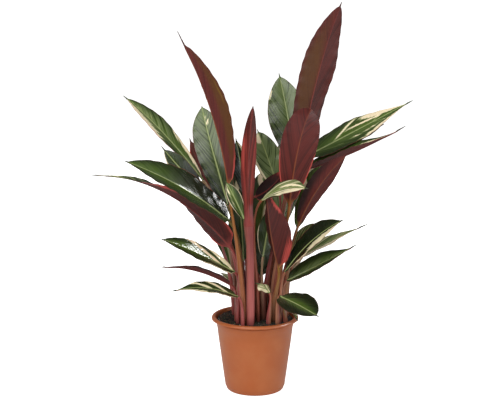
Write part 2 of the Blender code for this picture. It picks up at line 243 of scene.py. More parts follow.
class StalkTone(Enum):
    """A leaf stalk's colours at the soil, at the blade, and along one flank."""

    # The colours at the soil are partly the stalks' own and partly darkened as painted shade from the clump.
    ROSY = ("#A2504C", "#98443F", "#A27450")
    SPEAR = ("#B8625E", "#7E3836", "#8E4A3E")
    OCHRE = ("#946440", "#8A662A", "#985049")
    ORANGE = ("#985A36", "#9E6626", "#9E5044")
    PURPLE = ("#6A3036", "#6A2E32", "#84483E")
    PALE = ("#784C3C", "#C0A27C", "#7E463E")
    OLIVE = ("#8C5440", "#6C642C", "#98504A")


class Ease(Enum):
    """How a layer sets in between its limits."""

    EVEN = "LINEAR"
    SOFT = "SMOOTHSTEP"


@dataclass(frozen=True)
class Layer:
    """A colour that covers what lies below it.

    Attributes:
        value: What drives it, from a node.
        colour: Its colour, as "#RRGGBB" or from a node.
        start: The value at which it sets in.
        full: The value at which it has its full share.
        most: That share.
        ease: How it sets in.
    """

    value: Socket
    colour: str | Socket
    start: float = 0.0
    full: float = 1.0
    most: float = 1.0
    ease: Ease = Ease.SOFT


def painted(tree: Tree, ground: str, layers: tuple[Layer, ...]) -> Socket:
    """Lays layers over a ground colour, the first one lowest, and gives the colour that results."""
    base = linear(ground)
    for layer in layers:
        share = add_node(tree, "MapRange", {"interpolation_type": layer.ease.value},
                         {"Value": layer.value, "From Min": layer.start, "From Max": layer.full,
                          "To Max": layer.most})
        colour = linear(layer.colour) if isinstance(layer.colour, str) else layer.colour
        base = add_node(tree, "Mix", {"data_type": "RGBA"}, {0: share, 6: base, 7: colour}, 2)
    return base


def stretched_noise(tree: Tree, place: Socket, size: tuple[float, float, float], detail: float) -> Socket:
    """Adds noise that is longer one way than another.

    Args:
        tree: The material's node tree.
        place: The coordinates that it is drawn in.
        size: The length of one patch along each of them.
        detail: How many times finer noise is added.

    Returns:
        The noise, from 0 to 1.
    """
    scale = tuple(1 / length for length in size)
    scaled = add_node(tree, "VectorMath", {"operation": "MULTIPLY"}, {0: place, 1: scale})
    return add_node(tree, "TexNoise", {}, {"Vector": scaled, "Scale": 1.0, "Detail": detail})


@dataclass(frozen=True)
class LeafSide:
    """What both sides of a calathea leaf have: patterns along the side veins, a midrib and fine vein lines.

    The patterns are noises in millimetres across and along the side veins, which each blade carries as
    attributes. Their seed makes each leaf's own.
    """

    name: str = "leaf_side"
    roughness: float = 0.5
    ior: float = 1.4
    rib_width: float = 2.0
    rib_taper: float = 1.3
    line_spacing: float = 1.2
    line_share: float = 0.1
    relief: float = 0.4
    relief_depth: float = 1.0

    def paint(self, tree: Tree, read: dict[str, Socket], blade: Socket) -> tuple[Socket, Socket]:
        """Adds the side's own pattern.

        Args:
            tree: The material's node tree.
            read: The blade's attributes by name, and its distance from the midrib in rib widths as "rib".
            blade: The coordinates along and across the side veins.

        Returns:
            The side's colour and the height of its relief.
        """
        raise NotImplementedError

    def build(self) -> bpy.types.Material:
        """Makes the material."""
        made, tree, shader = new_material(self.name)
        read = {name: add_node(tree, "Attribute", {"attribute_name": name}, {}, "Fac")
                for name in BLADE_MARKS}
        read["tone"] = add_node(tree, "Attribute", {"attribute_name": "tone"}, {}, "Color")
        blade = add_node(tree, "CombineXYZ", {}, {0: read["vein"], 1: read["reach"], 2: read["seed"]})
        off_line = add_node(tree, "Math", {"operation": "ABSOLUTE"}, {0: read["reach"]})
        rib_width = add_node(tree, "Math", {"operation": "MULTIPLY_ADD"},
                             {0: read["along"], 1: -self.rib_taper, 2: self.rib_width})
        read["rib"] = add_node(tree, "Math", {"operation": "DIVIDE"}, {0: off_line, 1: rib_width})
        colour, height = self.paint(tree, read, blade)
        turns = add_node(tree, "Math", {"operation": "MULTIPLY"},
                         {0: read["vein"], 1: math.tau / self.line_spacing})
        lines = add_node(tree, "Math", {"operation": "SINE"}, {0: turns})
        relief = add_node(tree, "Math", {"operation": "MULTIPLY_ADD"},
                          {0: lines, 1: self.line_share, 2: height})
        bump = add_node(tree, "Bump", {},
                        {"Strength": self.relief, "Distance": self.relief_depth * MM, "Height": relief})
        connect(tree, shader, {"Base Color": colour, "Normal": bump, "Roughness": self.roughness,
                               "IOR": self.ior})
        return made


@dataclass(frozen=True)
class LeafUpper(LeafSide):
    """Upper side of a calathea leaf: a waxy cuticle over dark green, pale feathering and cream streaks.

    The cuticle makes it glossy, and the ribbing between its side veins breaks the shine into patches.
    """

    name: str = "leaf_upper_waxy_green"
    deep: str = "#0C1208"
    green: str = "#213412"
    flush: str = "#4C6420"
    feather: str = "#728052"
    halo: str = "#8E9A62"
    cream: str = "#FAEDC4"
    pink: str = "#F6CDB4"
    midrib: str = "#9FAA6E"
    margin: str = "#744234"
    roughness: float = 0.11
    ior: float = 1.46
    rib_width: float = 2.1
    line_share: float = 0.05
    relief: float = 0.5
    feather_spacing: float = 3.4
    feather_length: float = 45.0
    streak_spacing: float = 4.4
    streak_length: float = 60.0
    streak_raggedness: float = 1.1
    margin_raggedness: float = 0.06

    def paint(self, tree: Tree, read: dict[str, Socket], blade: Socket) -> tuple[Socket, Socket]:
        """Adds the green ground, its flush and feathering, the cream streaks, the margin and the midrib."""
        feathers = stretched_noise(tree, blade, (self.feather_spacing, self.feather_length, 1.0), 2.0)
        streaks = stretched_noise(tree, blade, (self.streak_spacing, self.streak_length, 1.0), 3.0)
        off_rib = add_node(tree, "Math", {"operation": "ABSOLUTE"}, {0: read["across"]})
        flushed = add_node(tree, "MapRange", {"interpolation_type": Ease.SOFT.value},
                           {"Value": off_rib, "From Min": 1.0, "From Max": 0.1, "To Min": 0.1})
        feathered = add_node(tree, "MapRange", {"interpolation_type": Ease.SOFT.value},
                             {"Value": feathers, "From Min": 0.3, "From Max": 0.58})
        for factor in (read["flush"], streaks):
            flushed = add_node(tree, "Math", {"operation": "MULTIPLY"}, {0: flushed, 1: factor})
        feathered = add_node(tree, "Math", {"operation": "MULTIPLY"}, {0: feathered, 1: read["pale"]})
        ragged = add_node(tree, "Math", {"operation": "MULTIPLY_ADD"},
                          {0: streaks, 1: self.streak_raggedness, 2: read["cream"]})
        at_margin = add_node(tree, "Math", {"operation": "MULTIPLY_ADD"},
                             {0: streaks, 1: self.margin_raggedness, 2: off_rib})
        pale = painted(tree, self.cream, (Layer(read["blush"], self.pink, ease=Ease.EVEN),))
        colour = painted(tree, self.deep, (
            Layer(feathers, self.green, ease=Ease.EVEN),
            Layer(flushed, self.flush, full=0.55, ease=Ease.EVEN),
            Layer(feathered, self.feather, ease=Ease.EVEN),
            # The dark mark: painted shade where the clump shades the blade, and darker tissue.
            Layer(read["dark"], self.deep, most=0.85),
            Layer(ragged, self.halo, 0.84, 1.04, 0.75),
            Layer(ragged, pale, 1.0, 1.16),
            Layer(at_margin, self.margin, 0.985, 1.02, 0.8, Ease.EVEN),
            Layer(read["rib"], self.midrib, 1.15, 0.5, 0.9),
        ))
        return colour, feathers


@dataclass(frozen=True)
class LeafUnderside(LeafSide):
    """Underside of a calathea leaf: matt burgundy flesh, olive-brown and pink-red where the green is thin.

    It has no thick cuticle, so it shines less than the upper side, and its veins stand out as fine lines.
    """

    name: str = "leaf_underside_burgundy"
    deep: str = "#34120F"
    burgundy: str = "#5E221D"
    olive: str = "#54330C"
    ochre: str = "#7A5A1C"
    blush: str = "#B84A42"
    pink: str = "#C67E6E"
    midrib: str = "#8A3830"
    shadow: str = "#180C0B"
    roughness: float = 0.55
    ior: float = 1.32
    rib_width: float = 1.9
    rib_taper: float = 1.4
    rib_redness: float = 0.6
    line_spacing: float = 1.3
    line_share: float = 0.2
    relief_depth: float = 0.8
    band_spacing: float = 8.0
    band_length: float = 110.0
    fine_spacing: float = 2.6
    fine_share: float = 0.65

    def paint(self, tree: Tree, read: dict[str, Socket], blade: Socket) -> tuple[Socket, Socket]:
        """Adds the banded flesh, its ragged patches, the stalk's colour at the base, and the midrib."""
        bands = stretched_noise(tree, blade, (self.band_spacing, self.band_length, 1.0), 1.0)
        fine = stretched_noise(tree, blade, (self.fine_spacing, self.band_length, 1.0), 2.0)
        mixed = add_node(tree, "Mix", {}, {0: self.fine_share, 2: bands, 3: fine})
        ragged = {name: add_node(tree, "Math", {"operation": "MULTIPLY_ADD"},
                                 {0: noises, 1: raggedness, 2: read[name]})
                  for name, noises, raggedness in (("olive", mixed, 1.0), ("cream", mixed, 0.9),
                                                   ("blush", fine, 1.0))}
        at_base = add_node(tree, "Math", {"operation": "DIVIDE"}, {0: read["along"], 1: read["merge"]})
        rib_share = add_node(tree, "MapRange", {"interpolation_type": Ease.SOFT.value},
                             {"Value": read["rib"], "From Min": 1.1, "From Max": 0.4, "To Max": 0.6})
        rib_fade = add_node(tree, "MapRange", {},
                            {"Value": read["along"], "From Min": 0.0, "From Max": 1.0, "To Min": 1.3,
                             "To Max": 0.3})
        rib_level = add_node(tree, "Math", {"operation": "MULTIPLY"}, {0: rib_share, 1: rib_fade})
        rib_colour = add_node(tree, "Mix", {"data_type": "RGBA"},
                              {0: self.rib_redness, 6: read["tone"], 7: linear(self.midrib)}, 2)
        colour = painted(tree, self.deep, (
            Layer(mixed, self.burgundy, 0.18, 0.66),
            Layer(ragged["olive"], self.olive, 0.7, 1.7, 0.85),
            Layer(read["ochre"], self.ochre, 0.2, 1.0, 0.8),
            # The dark mark: painted shade where the clump shades the blade, and darker tissue.
            Layer(read["dark"], self.shadow, most=0.85),
            Layer(ragged["cream"], self.pink, 0.92, 1.15, 0.7),
            Layer(ragged["blush"], self.blush, 0.95, 1.5, 0.92),
            Layer(at_base, read["tone"], 1.0, 0.0, 0.9),
            Layer(rib_level, rib_colour, ease=Ease.EVEN),
        ))
        return colour, mixed


@dataclass(frozen=True)
class LeafStalk:
    """Leaf stalk and sheath: firm, satin plant tissue, streaked by its strands and flushed with red."""

    name: str = "leaf_stalk_satin"
    shade: str = "#6A302C"
    roughness: float = 0.34
    ior: float = 1.44
    strand_width: float = 1.6
    strand_length: float = 110.0

    def build(self) -> bpy.types.Material:
        """Makes the material."""
        made, tree, shader = new_material(self.name)
        read = {name: add_node(tree, "Attribute", {"attribute_name": name}, {}, "Fac")
                for name in ("vein", "reach", "seed")}
        tone = add_node(tree, "Attribute", {"attribute_name": "tone"}, {}, "Color")
        stalk = add_node(tree, "CombineXYZ", {}, {0: read["reach"], 1: read["vein"], 2: read["seed"]})
        strands = stretched_noise(tree, stalk, (self.strand_width, self.strand_length, 1.0), 2.0)
        strand = add_node(tree, "MapRange", {"interpolation_type": Ease.SOFT.value},
                          {"Value": strands, "From Min": 0.25, "From Max": 0.6, "To Min": 0.35})
        streaked = add_node(tree, "Mix", {"data_type": "RGBA"},
                            {0: strand, 6: linear(self.shade), 7: tone}, 2)
        bump = add_node(tree, "Bump", {}, {"Strength": 0.2, "Distance": 0.3 * MM, "Height": strands})
        connect(tree, shader, {"Base Color": streaked, "Normal": bump, "Roughness": self.roughness,
                               "IOR": self.ior})
        return made


@dataclass(frozen=True)
class NurseryPlastic:
    """Injection-moulded polypropylene, dyed terracotta: a satin skin with faint flow marks and scuffs."""

    name: str = "moulded_polypropylene_terracotta"
    body: str = "#AC5A2A"
    worn: str = "#B56A3C"
    roughness: float = 0.36
    ior: float = 1.49
    cloud_size: float = 45.0
    flow_length: float = 83.0
    flow_height: float = 2.2

    def build(self) -> bpy.types.Material:
        """Makes the material."""
        made, tree, shader = new_material(self.name)
        place = add_node(tree, "TexCoord", {}, {}, "Object")
        clouds = add_node(tree, "TexNoise", {},
                          {"Vector": place, "Scale": 1 / (self.cloud_size * MM), "Detail": 3.0})
        dyed = painted(tree, self.body, (Layer(clouds, self.worn, 0.35, 0.7, 0.5),))
        flow_size = (self.flow_length * MM, self.flow_length * MM, self.flow_height * MM)
        flow = stretched_noise(tree, place, flow_size, 2.0)
        gloss = add_node(tree, "MapRange", {},
                         {"Value": clouds, "To Min": self.roughness - 0.06, "To Max": self.roughness + 0.08})
        bump = add_node(tree, "Bump", {}, {"Strength": 0.08, "Distance": 0.4 * MM, "Height": flow})
        connect(tree, shader, {"Base Color": dyed, "Normal": bump, "Roughness": gloss, "IOR": self.ior})
        return made


@dataclass(frozen=True)
class PottingMix:
    """One ingredient of moist potting mix: crumbly, matt, and blotched between two colours."""

    name: str
    dark: str
    light: str
    blotch: float
    roughness: float = 0.92

    def build(self) -> bpy.types.Material:
        """Makes the material."""
        made, tree, shader = new_material(self.name)
        place = add_node(tree, "TexCoord", {}, {}, "Object")
        blotches = add_node(tree, "TexNoise", {},
                            {"Vector": place, "Scale": 1 / (self.blotch * MM), "Detail": 5.0,
                             "Roughness": 0.65})
        mixed = painted(tree, self.dark, (Layer(blotches, self.light, 0.35, 0.7),))
        bump = add_node(tree, "Bump", {}, {"Strength": 0.6, "Distance": 0.8 * MM, "Height": blotches})
        connect(tree, shader, {"Base Color": mixed, "Normal": bump, "Roughness": self.roughness})
        return made


PEAT = PottingMix("potting_mix_peat", "#12100D", "#3A3126", 4.0)
BARK = PottingMix("potting_mix_bark", "#3A2418", "#7A4E3A", 3.0, 0.85)
ALGAE = PottingMix("potting_mix_algae_crumbs", "#26301C", "#4E5C36", 3.0, 0.85)
PERLITE = PottingMix("potting_mix_perlite", "#B9B4A6", "#E6E2D8", 1.5, 0.8)


# How far out a patch still shows, in its own half-lengths.
PATCH_EDGE = 1.5


@dataclass(frozen=True)
class Streak:
    """A long patch on one half of a blade, drawn along the side veins.

    Attributes:
        side: -1 or 1, the half of the blade, or 0 for both.
        middle: Share of the blade's length at the patch's middle, read at the midrib.
        length: Half of its length, as a share of the blade's.
        across: Share of the half-width at its middle.
        spread: Half of its width, as a share of the half-width.
        tone: What colour it has.
        strength: How full its colour is, from 0 to 1. A weak patch breaks up into fine streaks.
        lean: How far it leans towards the tip from midrib to margin, as a share of the blade's length.
    """

    side: int
    middle: float
    length: float
    across: float
    spread: float
    tone: Tone = Tone.CREAM
    strength: float = 1.0
    lean: float = 0.0

    def level(self, along: np.ndarray, across: np.ndarray) -> np.ndarray:
        """Gives how far inside the patch each point is: full at its middle, and 0 well outside."""
        reach = np.abs(across)
        place = (along - self.lean * reach - self.middle) / self.length
        offset = (reach - self.across) / self.spread
        level = self.strength * np.clip(PATCH_EDGE - np.hypot(place, offset), 0.0, 1.0)
        return np.where(across * self.side < 0, 0.0, level)


# A blade's skin and forms. Spans are shares of its length or half-width at which a form sets in.
BLADE_SKIN = 0.55
SKIN_TAPER = 0.4
BLADE_RIB = 1.2
RIB_SPREAD = 1.7
GROOVE_DEPTH = 0.5
GROOVE_SPAN = (0.0, 0.2)
QUILT_HEIGHT = 0.28
QUILT_SPACING = 6.0
QUILT_INNER = (0.05, 0.4)
QUILT_OUTER = (0.8, 1.0)
WAVES = 2.6
WAVE_OFFSET = 0.9
PHASE_STEP = 2.4
RUFFLE_SHARE = 0.010
RUFFLE_LENGTH = 24.0
RUFFLE_PHASE = 1.7
RUFFLE_OFFSET = 2.1
MARGIN_RECURVE = 0.10
VEIN_CURVE = 0.6

# How closely a leaf is meshed.
BLADE_STEP = 2.2
STALK_STEPS = 22
HALF_COLUMNS = 16
CROWDING = 0.55
CROWDING_POWER = 1.5

# A blade's drawn-out tip.
TIP_RADIUS = 0.75
TIP_BLUNT = 0.7
TIP_TAPER = 2.0
TIP_KEEL = 1.4
KEEL_SPAN = (0.72, 0.92)
THREAD_DARKNESS = 0.5
THREAD_FROM = 2.0
THREAD_WHOLE = 1.2
OFF_RIB = 3.0

# A stalk, with its sheath and its joint.
STALK_DEPTH = 24.0
STALK_STRAIGHT = 4.0
STALK_RISE = 0.4
STALK_ARCH = 0.22
STALK_BASE = 1.5
STALK_PER_WIDTH = 1 / 70
SHEATH_BASE = 2.6
SHEATH_PER_WIDTH = 1 / 32
SHEATH_TOP = 0.2
SHEATH_FULL = 0.85
SHEATH_FLARE = 0.45
SPEAR_FLARE = 1.4
SPEAR_SPAN = (0.8, 1.0)
JOINT_PLACE = 0.93
JOINT_LENGTH = 0.045
JOINT_SWELL = 0.25
BASE_BLEND = 0.065
SHEATHED_STRETCH = 3.0

# Colours along and round a leaf.
MERGE_SHARE = 0.07
SHADE_SPAN = (-0.9, -0.1)
FLANK_SHARE = 0.7
FLANK_SPAN = (-0.3, 1.0)
# Near the soil a stalk is darkened: partly soil on it, partly painted shade from the clump.
SOIL_STAIN_AND_SHADE = 0.08
STAIN_AND_SHADE_DEPTH = 0.65
PINK_SHARE = 0.45
PINK_RATE = 3.1
PINK_SPAN = (0.3, 0.9)
SEED_STEP = 7.3


@dataclass(frozen=True)
class Leaf:
    """One leaf: its sheath in the soil, its stalk and its blade, in one mesh.

    Attributes:
        name: The piece's name; its CAD node is leaf_NAME.
        root: Where it leaves the soil, x and y.
        collar: Where its blade starts.
        belly: The blade's middle.
        tip: The blade's tip.
        width: The whole blade's width.
        face: The way that the upper side looks.
        fold: How far each half is lifted, in degrees.
        twist: How far the blade turns from base to tip, in degrees.
        pattern: The drawing of its upper side.
        stalk: The stalk's colours.
        outline: The blade's outline.
        waves: Height of each margin's waves, as shares of the width, for side -1 and side 1.
        lean: How far its side veins run towards the tip for each length across.
        thread: Length of the thread that the tip is drawn out to.
        girth: How thick its stalk is, beside the usual.
        sheathed: How much further up than usual its sheath goes, as a share of the stalk.
        cream: How much of the blade fine cream streaks cover, from 0 to 1.
        blush: How pink its pale parts are, from 0 to 1.
        olive: How much olive-brown its underside has, from 0 to 1.
        streaks: The patches that this leaf has besides.
    """

    name: str
    root: tuple[float, float]
    collar: tuple[float, float, float]
    belly: tuple[float, float, float]
    tip: tuple[float, float, float]
    width: float
    face: tuple[float, float, float]
    fold: float
    twist: float = 0.0
    pattern: Pattern = Pattern.DARK
    stalk: StalkTone = StalkTone.ROSY
    outline: Outline = Outline.OBLONG
    waves: tuple[float, float] = (0.03, 0.03)
    lean: float = 1.5
    thread: float = 5.0
    girth: float = 1.0
    sheathed: float = 0.0
    cream: float = 0.0
    blush: float = 0.2
    olive: float = 0.15
    streaks: tuple[Streak, ...] = ()

    def midrib(self, share: float) -> tuple[Vector, Vector]:
        """Gives the point on the blade's middle line at a share of its length, and the direction there."""
        start, middle, end = Vector(self.collar), Vector(self.belly), Vector(self.tip)
        pull = 2 * middle - (start + end) / 2
        rest = 1 - share
        place = rest**2 * start + 2 * share * rest * pull + share**2 * end
        heading = rest * (pull - start) + share * (end - pull)
        return place, heading.normalized()

    def stem(self, share: float) -> tuple[Vector, Vector]:
        """Gives the point on the stalk at a share of its length above the soil, and the direction there."""
        end, blade_heading = self.midrib(0.0)
        start = Vector((*self.root, SOIL_TOP + STALK_STRAIGHT))
        reach = (end - start).length
        first = start + Vector((0, 0, STALK_RISE * reach))
        second = end - blade_heading * STALK_ARCH * reach
        rest = 1 - share
        place = rest**3 * start + 3 * rest**2 * share * first + 3 * rest * share**2 * second + share**3 * end
        heading = rest**2 * (first - start) + 2 * rest * share * (second - first) + share**2 * (end - second)
        return place, heading.normalized()

    def length(self) -> float:
        """Gives the blade's length, through its middle."""
        middle = Vector(self.belly)
        return (middle - Vector(self.collar)).length + (Vector(self.tip) - middle).length

    def fullness(self, share: np.ndarray) -> np.ndarray:
        """Gives how much of the blade's whole width it has at shares of its length."""
        length = self.length()
        back = 1 - np.clip(share * length / (length - self.thread), 0, 1)
        point, base, widest = self.outline.value
        return np.sin(math.pi * back**widest).clip(0) ** (point + (base - point) * back)

    def stretch(self) -> float:
        """Gives how much longer than usual the blade's base takes to grow out of the stalk."""
        return 1 + SHEATHED_STRETCH * self.sheathed

    def stalk_size(self, share: float) -> tuple[float, float]:
        """Gives the stalk's half-width and half-depth at a share of its length.

        It is a wide, flattened sheath at the soil, then thin, and it swells at the joint below the blade.
        """
        thin = (STALK_BASE + self.width * STALK_PER_WIDTH) * self.girth
        sheath = (SHEATH_BASE + self.width * SHEATH_PER_WIDTH) * self.girth
        bulge = JOINT_SWELL * (1 - min(1.0, self.sheathed))
        swell = 1 + bulge * math.exp(-(((share - JOINT_PLACE) / JOINT_LENGTH) ** 2))
        open_share = float(smooth(SHEATH_TOP, SHEATH_FULL, 1 - share + self.sheathed))
        radius = (thin + (sheath - thin) * open_share) * swell
        radius += SPEAR_FLARE * self.sheathed * float(smooth(*SPEAR_SPAN, share))
        return radius * (1 + SHEATH_FLARE * open_share), radius


